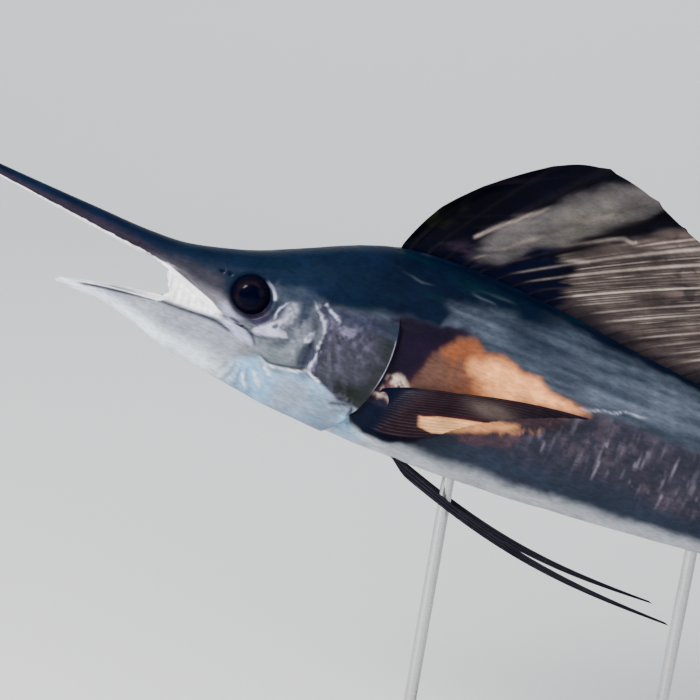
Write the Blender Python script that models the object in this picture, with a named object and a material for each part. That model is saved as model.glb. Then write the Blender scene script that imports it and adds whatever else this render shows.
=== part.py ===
"""A life-size sailfish with an open mouth and a half-raised sail, on rods and a flat wooden base.

The fish is modelled straight in its own frame and then pitched head-up by an empty.
In that frame x runs tailward from the tip of the closed lower jaw, z runs up from the
line through the middle of the body, and the left side is at negative y. Metres.
"""

import math

import bmesh
import bpy
import numpy as np
from mathutils import Matrix

# Stations along the fish
BILL_TIP = -0.300
BILL_CUT = 0.125
JAW_TIP = 0.010
JAW_HINGE = 0.245
EYE_AT = (0.235, 0.0325, 0.0010)
GILL_REAR = 0.418
TRUNK_CUT = 0.860
TAIL_CUT = 1.300
TAIL_ROOT = 1.605
FORK = 1.650
LOBE_TIP = 1.860

# Other driving sizes
GAP = 0.0003
LOBE_RISE = 0.300
EYE_RADIUS = 0.0240
EYE_DEPTH = 0.0100
EYE_YAW = math.radians(10)
NOSTRILS_AT = (0.193, 0.203)
NOSTRIL_HEIGHT = 0.0160
NOSTRIL_SIZE = (0.0030, 0.0030, 0.0020)
GILL_CURVE = 3.0
GILL_STEP = 0.0030
GILL_TUCK = 2.2 * GILL_STEP
CHEEK_GROOVE = 0.0024
PLATE_RISE = 0.0020
LIP_STEP = 0.0045
LIP_TAPER = 0.94
CHEEK_WALL = 0.0075
HEAD_BOXY = 0.86
BELLY_BOXY = 0.92
KEEL_RISE = 0.0065
KEEL_HEIGHTS = (0.0085, -0.0085)
TAIL_SWEEP = 0.070
SWEEP_START = 0.800
MEMBRANE = 0.00055

# Pose and stand
PITCH = math.radians(12)
PIVOT = 0.620
FLOOR_CLEARANCE = 0.040
AXIS_HEIGHT = FLOOR_CLEARANCE + (LOBE_TIP - PIVOT) * math.sin(PITCH) + LOBE_RISE * math.cos(PITCH)
BASE_SIZE = (0.840, 0.340, 0.028)
ROD_RADIUS = 0.008
ROD_PLACES = {"front": -0.100, "rear": 0.220}
FLANGE_RADIUS = 0.024
FLANGE_HEIGHT = 0.006

RING_POINTS = 40

# Stations shared by the cheeks and the jaw, so that they meet along the same edge
LIP_STATIONS = (0.139, 0.150, 0.162, 0.175, 0.188, 0.200, 0.211, 0.222, 0.233)

# Outline of the back, belly and flank: distance along the fish, then height or half width
BACK = (
    (-0.300, 0.0550), (-0.200, 0.0478), (-0.100, 0.0401), (0.031, 0.0316), (0.100, 0.0278),
    (0.140, 0.0290), (0.175, 0.0360), (0.227, 0.0510), (0.271, 0.0700), (0.325, 0.0950),
    (0.379, 0.1130), (0.431, 0.1195), (0.500, 0.1200), (0.600, 0.1110), (0.700, 0.0970),
    (0.800, 0.0860), (0.900, 0.0780), (1.000, 0.0705), (1.150, 0.0590), (1.300, 0.0455),
    (1.420, 0.0350), (1.520, 0.0270), (1.605, 0.0240),
)
BELLY = (
    (0.245, -0.1160), (0.300, -0.1240), (0.410, -0.1300), (0.500, -0.1310), (0.600, -0.1290),
    (0.750, -0.1210), (0.900, -0.1090), (1.000, -0.0980), (1.100, -0.0840), (1.200, -0.0680),
    (1.300, -0.0520), (1.420, -0.0370), (1.520, -0.0270), (1.605, -0.0240),
)
FLANK = (
    (-0.300, 0.0022), (-0.200, 0.0045), (-0.100, 0.0068), (0.031, 0.0120), (0.100, 0.0165),
    (0.125, 0.0190), (0.175, 0.0275), (0.235, 0.0405), (0.300, 0.0490), (0.360, 0.0540),
    (0.420, 0.0565), (0.600, 0.0580), (0.800, 0.0545), (1.000, 0.0455), (1.200, 0.0320),
    (1.350, 0.0220), (1.500, 0.0150), (1.605, 0.0110),
)
WIDEST = (
    (-0.300, 0.0530), (-0.100, 0.0335), (0.031, 0.0198), (0.125, 0.0100), (0.175, -0.0050),
    (0.235, -0.0120), (0.300, -0.0100), (0.420, 0.0000), (1.605, 0.0000),
)
UPPER_LIP = ((0.125, -0.0045), (0.150, -0.0130), (0.180, -0.0250), (0.210, -0.0362), (0.245, -0.0350))
BILL_UNDERSIDE = ((-0.300, 0.0510), (-0.200, 0.0392), (-0.100, 0.0269), (0.031, 0.0080), (0.125, -0.0045))

# Lower jaw, hanging open
JAW_EDGE = ((0.010, -0.0650), (0.075, -0.0520), (0.139, -0.0450), (0.210, -0.0370), (0.245, -0.0360))
JAW_UNDERSIDE = ((0.010, -0.0700), (0.070, -0.0740), (0.110, -0.0840), (0.150, -0.0980), (0.245, -0.1160))
JAW_FLANK = ((0.010, 0.0035), (0.040, 0.0080), (0.075, 0.0140), (0.139, 0.0260), (0.210, 0.0380), (0.245, 0.0440))
PALATE = ((0.118, -0.0080), (0.139, -0.0060), (0.210, -0.0140), (0.262, -0.0340))

# Rear edge of the cheek: height, then distance along the fish
CHEEK_EDGE = ((-0.067, 0.348), (-0.050, 0.333), (-0.004, 0.330), (0.025, 0.306))

# Sail: share along its base, then ray length, or the ray's lean in degrees from the tailward line
SAIL_START, SAIL_END = 0.385, 1.285
SAIL_RAYS = 38
SAIL_LENGTHS = (
    (0.000, 0.072), (0.017, 0.134), (0.039, 0.190), (0.058, 0.222), (0.072, 0.240), (0.086, 0.250),
    (0.117, 0.262), (0.160, 0.285), (0.250, 0.335), (0.400, 0.410), (0.550, 0.455), (0.650, 0.450),
    (0.750, 0.400), (0.850, 0.290), (0.930, 0.165), (1.000, 0.055),
)
SAIL_LEANS = (
    (0.000, 70), (0.017, 62), (0.039, 57), (0.058, 52), (0.072, 45), (0.086, 38), (0.117, 31),
    (0.160, 26), (0.250, 24), (0.400, 25), (0.600, 28), (0.850, 28), (1.000, 26),
)
SAIL_CURL = 8
SAIL_FOLD_AT = (0.074, 0.100)
SAIL_FOLD = 0.012

# Small fins on the body's middle line: side, first and last place, rays, ray lengths, first and last lean
MEDIAN_FINS = {
    "dorsal_fin_second": ("back", 1.352, 1.432, 7, ((0.0, 0.052), (0.5, 0.036), (1.0, 0.062)), (48, 14)),
    "anal_fin_first": ("belly", 1.010, 1.195, 13,
                       ((0.0, 0.075), (0.10, 0.150), (0.25, 0.120), (0.5, 0.070), (1.0, 0.035)), (52, 30)),
    "anal_fin_second": ("belly", 1.342, 1.422, 7, ((0.0, 0.052), (0.5, 0.036), (1.0, 0.062)), (48, 14)),
}
MEDIAN_CURL = 8

# Tail lobe: edge from the tip past the hollow to the fork, and the root's half height
LOBE_EDGE = ((LOBE_TIP, LOBE_RISE), (1.705, 0.105), (FORK, 0.004))
LOBE_ROOT = 0.0225
LOBE_RAYS = 9

# Breast fin: root from top to foot, and edge from the long upper ray's tip to the short lower one's
PECTORAL_ROOT = ((0.421, -0.046), (0.404, -0.098))
PECTORAL_EDGE = ((0.680, 0.012), (0.550, -0.022), (0.500, -0.078))
PECTORAL_RAYS = 11
PECTORAL_SWELL = 0.0035

# Belly fin: root, reach along the fish, drop and width
PELVIC_ROOT = (0.448, 0.010, -0.121)
PELVIC_REACH = (0.410, 0.034, -0.080)
PELVIC_WIDTH = 0.015


def smooth(knots):
    """A smooth curve through a few (place, value) knots."""
    places, values = (np.array(column) for column in zip(*knots))
    slopes = np.gradient(values, places)

    def at(place):
        place = min(max(place, places[0]), places[-1])
        i = min(int(np.searchsorted(places, place, side="right")) - 1, len(places) - 2)
        span = places[i + 1] - places[i]
        t = (place - places[i]) / span
        start, end = values[i], values[i + 1]
        rise = 3 * (end - start) - span * (2 * slopes[i] + slopes[i + 1])
        bow = 2 * (start - end) + span * (slopes[i] + slopes[i + 1])
        return float(start + t * (span * slopes[i] + t * (rise + t * bow)))

    return at


def blend(low, high, value):
    """0 below low, 1 above high and a smooth step between."""
    t = min(max((value - low) / (high - low), 0.0), 1.0)
    return t * t * (3 - 2 * t)


def power(value, exponent):
    return math.copysign(abs(value) ** exponent, value)


back, belly, flank, widest = smooth(BACK), smooth(BELLY), smooth(FLANK), smooth(WIDEST)
bill_underside, upper_lip = smooth(BILL_UNDERSIDE), smooth(UPPER_LIP)
jaw_edge, jaw_underside, jaw_flank = smooth(JAW_EDGE), smooth(JAW_UNDERSIDE), smooth(JAW_FLANK)


def tail_bend(x):
    """Sideways sweep of the tail, as in slow swimming."""
    return TAIL_SWEEP * (max(x - SWEEP_START, 0.0) / (LOBE_TIP - SWEEP_START)) ** 2


def section_point(x, angle, underside, boxy_top=1.0, boxy_under=1.0):
    """A point of the body's oval section at station x. Angle 0 is the back and a quarter turn the left flank."""
    level = widest(x)
    across, up = math.sin(angle), math.cos(angle)
    boxy = boxy_top if up > 0 else boxy_under
    height = back(x) - level if up > 0 else level - underside(x)
    return np.array((x, -flank(x) * power(across, boxy), level + height * power(up, boxy)))


def gill_shift(x, z):
    """How far forward the gill opening's curve pulls a station at height z."""
    reach = blend(0.300, GILL_REAR, x) * (1 - blend(GILL_REAR, 0.600, x))
    return reach * GILL_CURVE * (z + 0.010) ** 2


def body_point(x, angle, swell=0.0):
    """A point on the skin of the throat and trunk, with the stations near the gills curved to the gill opening."""
    boxy_top = HEAD_BOXY + 0.10 * blend(0.25, 0.55, x)
    straight = section_point(x, angle, belly, boxy_top, BELLY_BOXY)
    point = section_point(x - gill_shift(x, straight[2]), angle, belly, boxy_top, BELLY_BOXY)
    return point + swell * outward(point)


def outward(point):
    """Unit direction away from the body's long axis."""
    away = np.array((0.0, point[1], point[2] - widest(point[0])))
    return away / max(np.linalg.norm(away), 1e-9)


def angles(count=RING_POINTS):
    return [2 * math.pi * i / count for i in range(count)]


def material(name, colour, roughness, metallic=0.0):
    made = bpy.data.materials.new(name)
    made.use_nodes = True
    shader = made.node_tree.nodes["Principled BSDF"]
    shader.inputs["Base Color"].default_value = (*colour, 1.0)
    shader.inputs["Roughness"].default_value = roughness
    shader.inputs["Metallic"].default_value = metallic
    made.diffuse_color = (*colour, 1.0)
    return made


def mesh_object(name, points, faces, finish, parent=None):
    """A closed mesh in the fish's frame, hung on the pose empty."""
    mesh = bpy.data.meshes.new(name)
    placed = [(x - PIVOT, y + tail_bend(x), z) for x, y, z in points] if parent else points
    mesh.from_pydata([tuple(map(float, p)) for p in placed], [], faces)
    shaped = bmesh.new()
    shaped.from_mesh(mesh)
    bmesh.ops.recalc_face_normals(shaped, faces=shaped.faces)
    shaped.to_mesh(mesh)
    shaped.free()
    mesh.shade_smooth()
    mesh.set_sharp_from_angle(angle=math.radians(50))
    made = bpy.data.objects.new(name, mesh)
    made.data.materials.append(finish)
    made.parent = parent
    bpy.context.scene.collection.objects.link(made)
    return made


def loft(rings):
    """Points and triangles of a closed skin over rings of equal count, with a fan at each end."""
    count = len(rings[0])
    points = [p for ring in rings for p in ring]
    faces = []
    for r in range(len(rings) - 1):
        for i in range(count):
            a, b = r * count + i, r * count + (i + 1) % count
            c, d = b + count, a + count
            faces += [(a, b, c), (a, c, d)]
    for ring, start in ((rings[0], 0), (rings[-1], (len(rings) - 1) * count)):
        points.append(np.mean(ring, axis=0))
        centre = len(points) - 1
        faces += [(start + i, start + (i + 1) % count, centre) for i in range(count)]
    return points, faces


def cut(target, cutter, operation="DIFFERENCE"):
    """Cuts one object with another, which stays as a hidden guide."""
    boolean = target.modifiers.new(operation.title(), "BOOLEAN")
    boolean.operation = operation
    boolean.object = cutter
    boolean.solver = "EXACT"
    cutter.hide_render = True
    cutter.display_type = "WIRE"


# Bill, head and lower jaw

def bill_ring(x, count=RING_POINTS):
    return [section_point(x, a, bill_underside) for a in angles(count)]


def make_bill(finish, pose):
    rings = [bill_ring(x, 16) for x in np.linspace(BILL_TIP, BILL_CUT - GAP, 15)]
    return mesh_object("bill", *loft(rings), finish, pose)


def mouth_floor_line(x):
    """Underside of the upper head over the mouth: down the front of the corner skin, then along the jaw."""
    if x < LIP_STATIONS[0]:
        drop = blend(BILL_CUT, LIP_STATIONS[0], x) ** 0.7
        return bill_underside(BILL_CUT) * (1 - drop) + (jaw_edge(LIP_STATIONS[0]) + GAP) * drop
    return jaw_edge(x) + GAP


def head_relief(point):
    """Height of the gill cover above the plain head, and depth of the groove in front of it."""
    x, z = point[0], point[2]
    heights, places = zip(*CHEEK_EDGE)
    behind = x - np.interp(z, heights, places)
    beside = (1 - blend(0.025, 0.045, z)) * blend(-0.090, -0.066, z)
    plate = PLATE_RISE * blend(-0.004, 0.004, behind) * (1 - blend(0.030, 0.080, behind))
    groove = CHEEK_GROOVE * math.exp(-((behind + 0.007) / 0.007) ** 2)
    flap = GILL_STEP * blend(0.360, GILL_REAR, x) * (1 - blend(0.030, 0.060, z))
    return beside * (plate - groove) + flap


def over_mouth_ring(x):
    """Head over the open mouth: down to the upper lip, in by a step, then the corner skin down to the jaw."""
    floor, level = mouth_floor_line(x), widest(x)
    front = blend(BILL_CUT, LIP_STATIONS[0], x)
    plain = [section_point(x, a, lambda _: floor, HEAD_BOXY, 1 - 0.5 * front) for a in angles()]
    lip = max(upper_lip(x), floor + 0.0015)
    step = LIP_STEP * (1 - blend(0.190, 0.212, x))
    half = LIP_TAPER * flank(x)
    foot = max(jaw_flank(x) - LIP_STEP, 0.6 * half)
    lower = [(flank(x), level)]
    lower += [(flank(x) - (flank(x) - half) * t * t, level + (lip - level) * t) for t in (0.30, 0.55, 0.78, 1.0)]
    lower += [(half - step, lip - 0.0010)]
    lower += [(half - step + (foot - half + step) * t, lip + (floor - lip) * t) for t in (0.50, 1.0)]
    lower += [(foot * share, floor) for share in (0.80, 0.45, 0.0)]
    quarter = RING_POINTS // 4
    ring = []
    for i, point in enumerate(plain):
        k = min(i, RING_POINTS - i)
        if k >= quarter and i != 0:
            y, z = lower[k - quarter]
            shaped = np.array((x, -y if i < RING_POINTS / 2 else y, z))
            point = point * (1 - front) + shaped * front
        ring.append(point)
    return ring


def full_head_ring(x):
    ring = [body_point(x, a) for a in angles()]
    return [p + head_relief(p) * outward(p) for p in ring]


def gill_centre():
    return np.array((GILL_REAR - GAP, 0.0, 0.0))


def make_head(finish, pose):
    over_mouth = (0.125, 0.128, 0.133, *LIP_STATIONS, JAW_HINGE - 4 * GAP)
    behind_mouth = (JAW_HINGE, 0.256, 0.268, 0.280, 0.292, 0.303, 0.312, 0.320, 0.328, 0.337, 0.348,
                    0.360, 0.372, 0.384, 0.396, 0.407, GILL_REAR - GAP)
    rings = [over_mouth_ring(x) for x in over_mouth] + [full_head_ring(x) for x in behind_mouth]
    points, faces = loft(rings)
    points[-1] = gill_centre()
    return mesh_object("head", points, faces, finish, pose)


def make_mouth_cavity(finish, pose):
    """The hollow of the mouth, open in front and towards the lower jaw."""
    roof = smooth(PALATE)
    rings = []
    for x in (0.118, 0.139, 0.160, 0.185, 0.210, 0.236, 0.240, 0.262):
        half = min(LIP_TAPER * flank(x), jaw_flank(x) - LIP_STEP) - CHEEK_WALL
        low = -0.090 if x < 0.238 else -0.050
        arch = [(-half * math.cos(a), math.sin(a)) for a in np.linspace(0, math.pi, 9)]
        side = (roof(x) + low) / 2
        ring = [(x, y, side + (roof(x) - side) * up) for y, up in arch] + [(x, half, low), (x, -half, low)]
        rings.append([np.array(p) for p in ring])
    return mesh_object("mouth_cavity", *loft(rings), finish, pose)


def make_lower_jaw(finish, pose):
    """Two jaw bones and the throat skin, with the mouth's floor sunk between the lips."""
    outer, inner = 15, 9
    rings = []
    for x in (JAW_TIP, 0.022, 0.040, 0.060, 0.080, 0.100, 0.120, *LIP_STATIONS, JAW_HINGE - 5 * GAP):
        edge, low, half = jaw_edge(x), jaw_underside(x), jaw_flank(x)
        lip = min(0.004, 0.35 * half)
        depth = 0.018 * blend(0.015, 0.160, x) + 0.0004
        ring = []
        for a in np.linspace(0, math.pi, outer):
            ring.append(np.array((x, -half * math.cos(a), edge - (edge - low) * math.sin(a) ** 0.9)))
        for a in np.linspace(0, math.pi, inner):
            ring.append(np.array((x, (half - lip) * math.cos(a), edge - depth * math.sin(a))))
        rings.append(ring)
    return mesh_object("lower_jaw", *loft(rings), finish, pose)


def eye_shape(swell=0.0):
    """A flattened ball with its axis sideways."""
    ball = bmesh.new()
    bmesh.ops.create_uvsphere(ball, u_segments=20, v_segments=10, radius=1.0)
    bmesh.ops.rotate(ball, verts=ball.verts, matrix=Matrix.Rotation(math.pi / 2, 3, "X"))
    scale = (EYE_RADIUS + swell, EYE_DEPTH + swell, EYE_RADIUS + swell)
    bmesh.ops.scale(ball, verts=ball.verts, vec=scale)
    bmesh.ops.triangulate(ball, faces=ball.faces)
    return ball


def add_ball(name, ball, place, yaw, finish, pose):
    mesh = bpy.data.meshes.new(name)
    ball.to_mesh(mesh)
    ball.free()
    mesh.shade_smooth()
    made = bpy.data.objects.new(name, mesh)
    made.data.materials.append(finish)
    made.parent = pose
    made.location = (place[0] - PIVOT, place[1], place[2])
    made.rotation_euler = (0.0, 0.0, yaw)
    bpy.context.scene.collection.objects.link(made)
    return made


def make_eyes(head, finish, pose):
    """An eye on each side, sunk in a socket that turns a little forward."""
    for side, name in ((-1, "left"), (1, "right")):
        place = (EYE_AT[0], side * EYE_AT[1], EYE_AT[2])
        yaw = side * EYE_YAW
        add_ball("eye_" + name, eye_shape(), place, yaw, finish, pose)
        socket = add_ball("socket_" + name, eye_shape(GAP), place, yaw, finish, pose)
        cut(head, socket)
        for k, along in enumerate(NOSTRILS_AT):
            nostril = bmesh.new()
            bmesh.ops.create_uvsphere(nostril, u_segments=10, v_segments=6, radius=1.0)
            bmesh.ops.scale(nostril, verts=nostril.verts, vec=NOSTRIL_SIZE)
            spot = (along, side * (flank(along) - NOSTRIL_SIZE[2]), NOSTRIL_HEIGHT)
            cut(head, add_ball(f"nostril_{name}_{k}", nostril, spot, yaw, finish, pose))


# Trunk and tail stock

def trunk_ring(x, swell=0.0):
    return [body_point(x, a, swell) for a in angles()]


def shoulder_ring():
    """First ring of the trunk, tucked under the free edge of the gill cover."""
    centre = gill_centre()
    ring = []
    for p in full_head_ring(GILL_REAR - GAP):
        tuck = GILL_TUCK * (1 - blend(0.030, 0.060, p[2]))
        reach = 1 - tuck / np.linalg.norm(p - centre)
        ring.append(centre + reach * (p - centre) + np.array((GAP, 0.0, 0.0)))
    return ring


def trunk_rings():
    stations = [0.430, 0.446, 0.465, *np.linspace(0.490, TRUNK_CUT - GAP, 10)]
    dip = {0.430: -0.0022, 0.446: -0.0006}
    return [shoulder_ring()] + [trunk_ring(x, dip.get(x, 0.0)) for x in stations]


def rear_rings():
    return [trunk_ring(x) for x in np.linspace(TRUNK_CUT, TAIL_CUT - GAP, 10)]


def keel_height(x, z):
    """The two low keels on each side of the tail stock."""
    along = blend(1.470, 1.560, x) * (1 - blend(1.592, 1.640, x))
    return KEEL_RISE * along * sum(math.exp(-((z - level) / 0.0030) ** 2) for level in KEEL_HEIGHTS)


def tail_ring(x):
    ring = []
    for a in angles():
        point = body_point(x, a)
        ring.append(point + np.array((0.0, math.copysign(keel_height(x, point[2]), point[1]), 0.0)))
    return ring


def tail_rings():
    stations = (1.340, 1.380, 1.420, 1.455, 1.485, 1.510, 1.532, 1.552, 1.570, 1.588)
    return [tail_ring(x) for x in (TAIL_CUT, *stations, TAIL_ROOT)]


def make_trunk(skin, tail_skin, pose):
    front, rear, tail = trunk_rings(), rear_rings(), tail_rings()
    points, faces = loft(front)
    points[-2] = gill_centre() + np.array((GAP, 0.0, 0.0))
    mesh_object("trunk_front", points, faces, skin, pose)
    mesh_object("trunk_rear", *loft(rear), skin, pose)
    mesh_object("tail_stock", *loft(tail), tail_skin, pose)
    return [*front, *rear, *tail]


def edge_line(rings, point_index):
    """Height along the back or belly of the faceted body, for what stands on it."""
    xs = np.array([ring[point_index][0] for ring in rings])
    zs = np.array([ring[point_index][2] for ring in rings])
    return lambda x: float(np.interp(x, xs, zs))


def make_swollen_body(finish, pose):
    """The front of the trunk grown by the fitting gap, which trims what is rooted in it."""
    stations = (0.390, 0.400, 0.4145, 0.430, 0.446, 0.465, *np.linspace(0.490, TRUNK_CUT + 0.03, 13))
    return mesh_object("swollen_body", *loft([trunk_ring(x, GAP) for x in stations]), finish, pose)


# Fins

def blade(columns):
    """A closed thin sheet from columns of (point, half thickness), split alike on both faces."""
    wide, tall = len(columns), len(columns[0])
    points = []
    for side in (-1, 1):
        for column in columns:
            points += [np.array(p) + np.array((0.0, side * half, 0.0)) for p, half in column]
    shift = wide * tall
    faces = []
    for c in range(wide - 1):
        for r in range(tall - 1):
            a, b = c * tall + r, (c + 1) * tall + r
            left = [(a, b, b + 1), (a, b + 1, a + 1)]
            faces += left + [tuple(shift + v for v in reversed(f)) for f in left]
    rim = [c * tall for c in range(wide)] + [(wide - 1) * tall + r for r in range(1, tall)]
    rim += [c * tall + tall - 1 for c in range(wide - 2, -1, -1)] + [r for r in range(tall - 2, 0, -1)]
    for k, a in enumerate(rim):
        b = rim[(k + 1) % len(rim)]
        faces += [(a, a + shift, b + shift), (a, b + shift, b)]
    return points, faces


def rayed_fin(name, count, line, rows, thick, finish, pose, scallop=0.02, swell=0.0):
    """A fin with raised rays. line(u, v) is the place at share u across the fin and v from root to edge."""
    columns = []
    for j in range(count):
        for offset in (-0.30, 0.0, 0.30):
            u = (j + 0.5 + offset) / count
            ridge = offset == 0.0
            end = 1.0 if ridge else 1.0 - scallop * 0.5
            column = []
            for v in rows:
                slim = thick * (1 - 0.62 * v)
                half = max(slim, 1.25 * MEMBRANE) if ridge else max(0.38 * slim, MEMBRANE)
                fleshy = swell * max(0.0, 1 - v / 0.34) ** 2
                column.append((line(u, v * end), half + fleshy))
            columns.append(column)
    return mesh_object(name, *blade(columns), finish, pose)


def leaning(base, length, lean, curl, v, rise=1):
    """Place at share v of a curved ray in the fish's upright plane. Lean is in degrees from the tailward line."""
    angle = math.radians(lean - curl * v)
    return np.array((base[0] + length * v * math.cos(angle), 0.0, base[1] + rise * length * v * math.sin(angle)))


def sail_sideways(u, v):
    """Slow waves along the sail, and the step where its front panel folds over the rear one."""
    wave = v ** 1.6 * (0.024 * math.sin(9.0 * (SAIL_START + u * (SAIL_END - SAIL_START)) + 0.6) - 0.010)
    step = 2 * blend(*SAIL_FOLD_AT, u) - 1
    return wave + SAIL_FOLD * v ** 1.2 * step * (1 - blend(0.12, 0.24, u))


def make_sail(back_line, finish, pose):
    length, lean = smooth(SAIL_LENGTHS), smooth(SAIL_LEANS)

    def line(u, v):
        x = SAIL_START + u * (SAIL_END - SAIL_START)
        point = leaning((x, back_line(x) + GAP), length(u), lean(u) + SAIL_CURL, SAIL_CURL, v)
        point[1] = sail_sideways(u, v)
        return point

    rows = (0.0, 0.10, 0.26, 0.46, 0.66, 0.85, 1.0)
    return rayed_fin("dorsal_fin_first", SAIL_RAYS, line, rows, 0.0017, finish, pose)


def make_median_fins(back_line, belly_line, finish, pose):
    """The second back fin and the two fins behind the vent."""
    rows = (0.0, 0.25, 0.55, 0.80, 1.0)
    for name, (side, start, end, count, lengths, leans) in MEDIAN_FINS.items():
        root_line, rise = (back_line, 1) if side == "back" else (belly_line, -1)
        length = smooth(lengths)

        def line(u, v, start=start, end=end, root_line=root_line, rise=rise, length=length, leans=leans):
            x = start + u * (end - start)
            lean = leans[0] + (leans[1] - leans[0]) * u ** 0.6
            return leaning((x, root_line(x) + rise * GAP), length(u), lean, MEDIAN_CURL, v, rise)

        rayed_fin(name, count, line, rows, 0.0019, finish, pose)


def bezier(start, middle, end, t):
    return (1 - t) ** 2 * start + 2 * t * (1 - t) * middle + t * t * end


def make_tail_fin(finish, pose):
    """The two lobes of the forked tail, which meet on the body's axis."""
    tip, hollow, fork = (np.array(place) for place in LOBE_EDGE)
    for name, rise in (("caudal_fin_upper", 1), ("caudal_fin_lower", -1)):

        def line(u, v, rise=rise):
            root = np.array((TAIL_ROOT + GAP, LOBE_ROOT * (1 - u) + 0.5 * GAP + 0.0004))
            end = bezier(tip, hollow, fork, u ** 0.75)
            bow = root + 0.42 * (end - root) + (1 - u) ** 1.5 * np.array((-0.052, 0.046))
            x, z = bezier(root, bow, end, v)
            return np.array((x, 0.0, rise * z))

        rows = (0.0, 0.14, 0.34, 0.56, 0.78, 1.0)
        rayed_fin(name, LOBE_RAYS, line, rows, 0.0052, finish, pose, scallop=0.0)


def flank_distance(x, z):
    """Half width of the trunk at a height, for what lies along it."""
    level = widest(x)
    height = back(x) - level if z > level else level - belly(x)
    return flank(x) * math.sqrt(max(1 - ((z - level) / height) ** 2, 0.0))


def make_pectoral_fins(trim, finish, pose):
    """The breast fins, folded back and up along the flank from a fleshy root."""
    first, last = (np.array(place) for place in PECTORAL_ROOT)
    tip, hollow, low = (np.array(place) for place in PECTORAL_EDGE)
    for name, side in (("pectoral_fin_left", -1), ("pectoral_fin_right", 1)):

        def line(u, v, side=side):
            root = first + (last - first) * u
            end = bezier(tip, hollow, low, u ** 0.8)
            bow = 0.5 * (root + end) + (1 - u) * np.array((-0.004, 0.020)) - u * u * np.array((0.0, 0.016))
            x, z = bezier(root, bow, end, v)
            stand_off = -0.006 + 0.017 * blend(0.0, 0.35, v) + 0.008 * v
            return np.array((x, side * (flank_distance(x, z) + stand_off), z))

        rows = (0.0, 0.10, 0.22, 0.36, 0.54, 0.76, 1.0)
        fin = rayed_fin(name, PECTORAL_RAYS, line, rows, 0.0021, finish, pose, swell=PECTORAL_SWELL)
        cut(fin, trim)


def make_pelvic_fins(trim, finish, pose):
    """The long, thin belly fins, splayed a little as they trail."""
    for name, side in (("pelvic_fin_left", -1), ("pelvic_fin_right", 1)):

        def line(u, v, side=side):
            x, y, z = (place + reach * v for place, reach in zip(PELVIC_ROOT, PELVIC_REACH))
            width = PELVIC_WIDTH * (1 - 0.85 * v ** 1.5)
            return np.array((x + 0.006 * u, side * y, z - 0.022 * math.sin(math.pi * v) - width * u))

        rows = (0.0, 0.05, 0.12, 0.25, 0.40, 0.55, 0.70, 0.85, 1.0)
        cut(rayed_fin(name, 3, line, rows, 0.0019, finish, pose), trim)


# Stand

def make_base(finish):
    bpy.ops.mesh.primitive_cube_add(size=1.0, location=(0.0, 0.0, BASE_SIZE[2] / 2))
    base = bpy.context.active_object
    base.name = base.data.name = "stand_base"
    for vertex in base.data.vertices:
        vertex.co = (vertex.co.x * BASE_SIZE[0], vertex.co.y * BASE_SIZE[1], vertex.co.z * BASE_SIZE[2])
    corners = base.modifiers.new("Corners", "BEVEL")
    corners.width = 0.006
    corners.segments = 2
    corners.limit_method = "ANGLE"
    base.data.materials.append(finish)


def make_rod(place, name, trim, finish):
    """A steel rod with a foot flange. Its top is trimmed to the belly that it carries."""
    foot, top, sides = BASE_SIZE[2] + GAP, AXIS_HEIGHT, 20
    profile = ((FLANGE_RADIUS, foot), (FLANGE_RADIUS, foot + FLANGE_HEIGHT - 0.0015),
               (FLANGE_RADIUS - 0.0015, foot + FLANGE_HEIGHT), (ROD_RADIUS + 0.001, foot + FLANGE_HEIGHT),
               (ROD_RADIUS, foot + FLANGE_HEIGHT + 0.002), (ROD_RADIUS, top))
    rings = [[np.array((place + r * math.cos(a), r * math.sin(a), z)) for a in angles(sides)] for r, z in profile]
    rod = mesh_object("stand_rod_" + name, *loft(rings), finish)
    cut(rod, trim)


def clear_scene():
    for old in list(bpy.data.objects):
        bpy.data.objects.remove(old)


def main():
    clear_scene()
    navy = material("back_skin", (0.045, 0.075, 0.125), 0.32)
    head_skin = material("head_skin", (0.230, 0.245, 0.290), 0.34)
    pale = material("throat_skin", (0.620, 0.640, 0.690), 0.38)
    tail_skin = material("tail_skin", (0.085, 0.115, 0.165), 0.34)
    bone = material("bill_bone", (0.060, 0.060, 0.085), 0.42)
    sail_skin = material("sail_membrane", (0.070, 0.050, 0.062), 0.40)
    fin_skin = material("fin_membrane", (0.060, 0.048, 0.060), 0.42)
    eye_gloss = material("eye", (0.020, 0.014, 0.016), 0.08)
    wood = material("stand_wood", (0.230, 0.120, 0.060), 0.45)
    steel = material("stand_steel", (0.600, 0.600, 0.620), 0.28, 1.0)

    pose = bpy.data.objects.new("fish_pose", None)
    pose.location = (0.0, 0.0, AXIS_HEIGHT)
    pose.rotation_euler = (0.0, PITCH, 0.0)
    bpy.context.scene.collection.objects.link(pose)

    make_bill(bone, pose)
    head = make_head(head_skin, pose)
    cut(head, make_mouth_cavity(head_skin, pose))
    make_lower_jaw(pale, pose)
    make_eyes(head, eye_gloss, pose)
    rings = make_trunk(navy, tail_skin, pose)
    back_line = edge_line(rings, 0)
    belly_line = edge_line(rings, RING_POINTS // 2)
    make_sail(back_line, sail_skin, pose)
    make_median_fins(back_line, belly_line, fin_skin, pose)
    make_tail_fin(fin_skin, pose)
    swollen = make_swollen_body(navy, pose)
    make_pectoral_fins(swollen, fin_skin, pose)
    make_pelvic_fins(swollen, fin_skin, pose)
    make_base(wood)
    for name, place in ROD_PLACES.items():
        make_rod(place, name, swollen, steel)


main()
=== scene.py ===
import itertools
import math

import bmesh
import bpy
import numpy as np
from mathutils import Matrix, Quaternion, Vector


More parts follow.
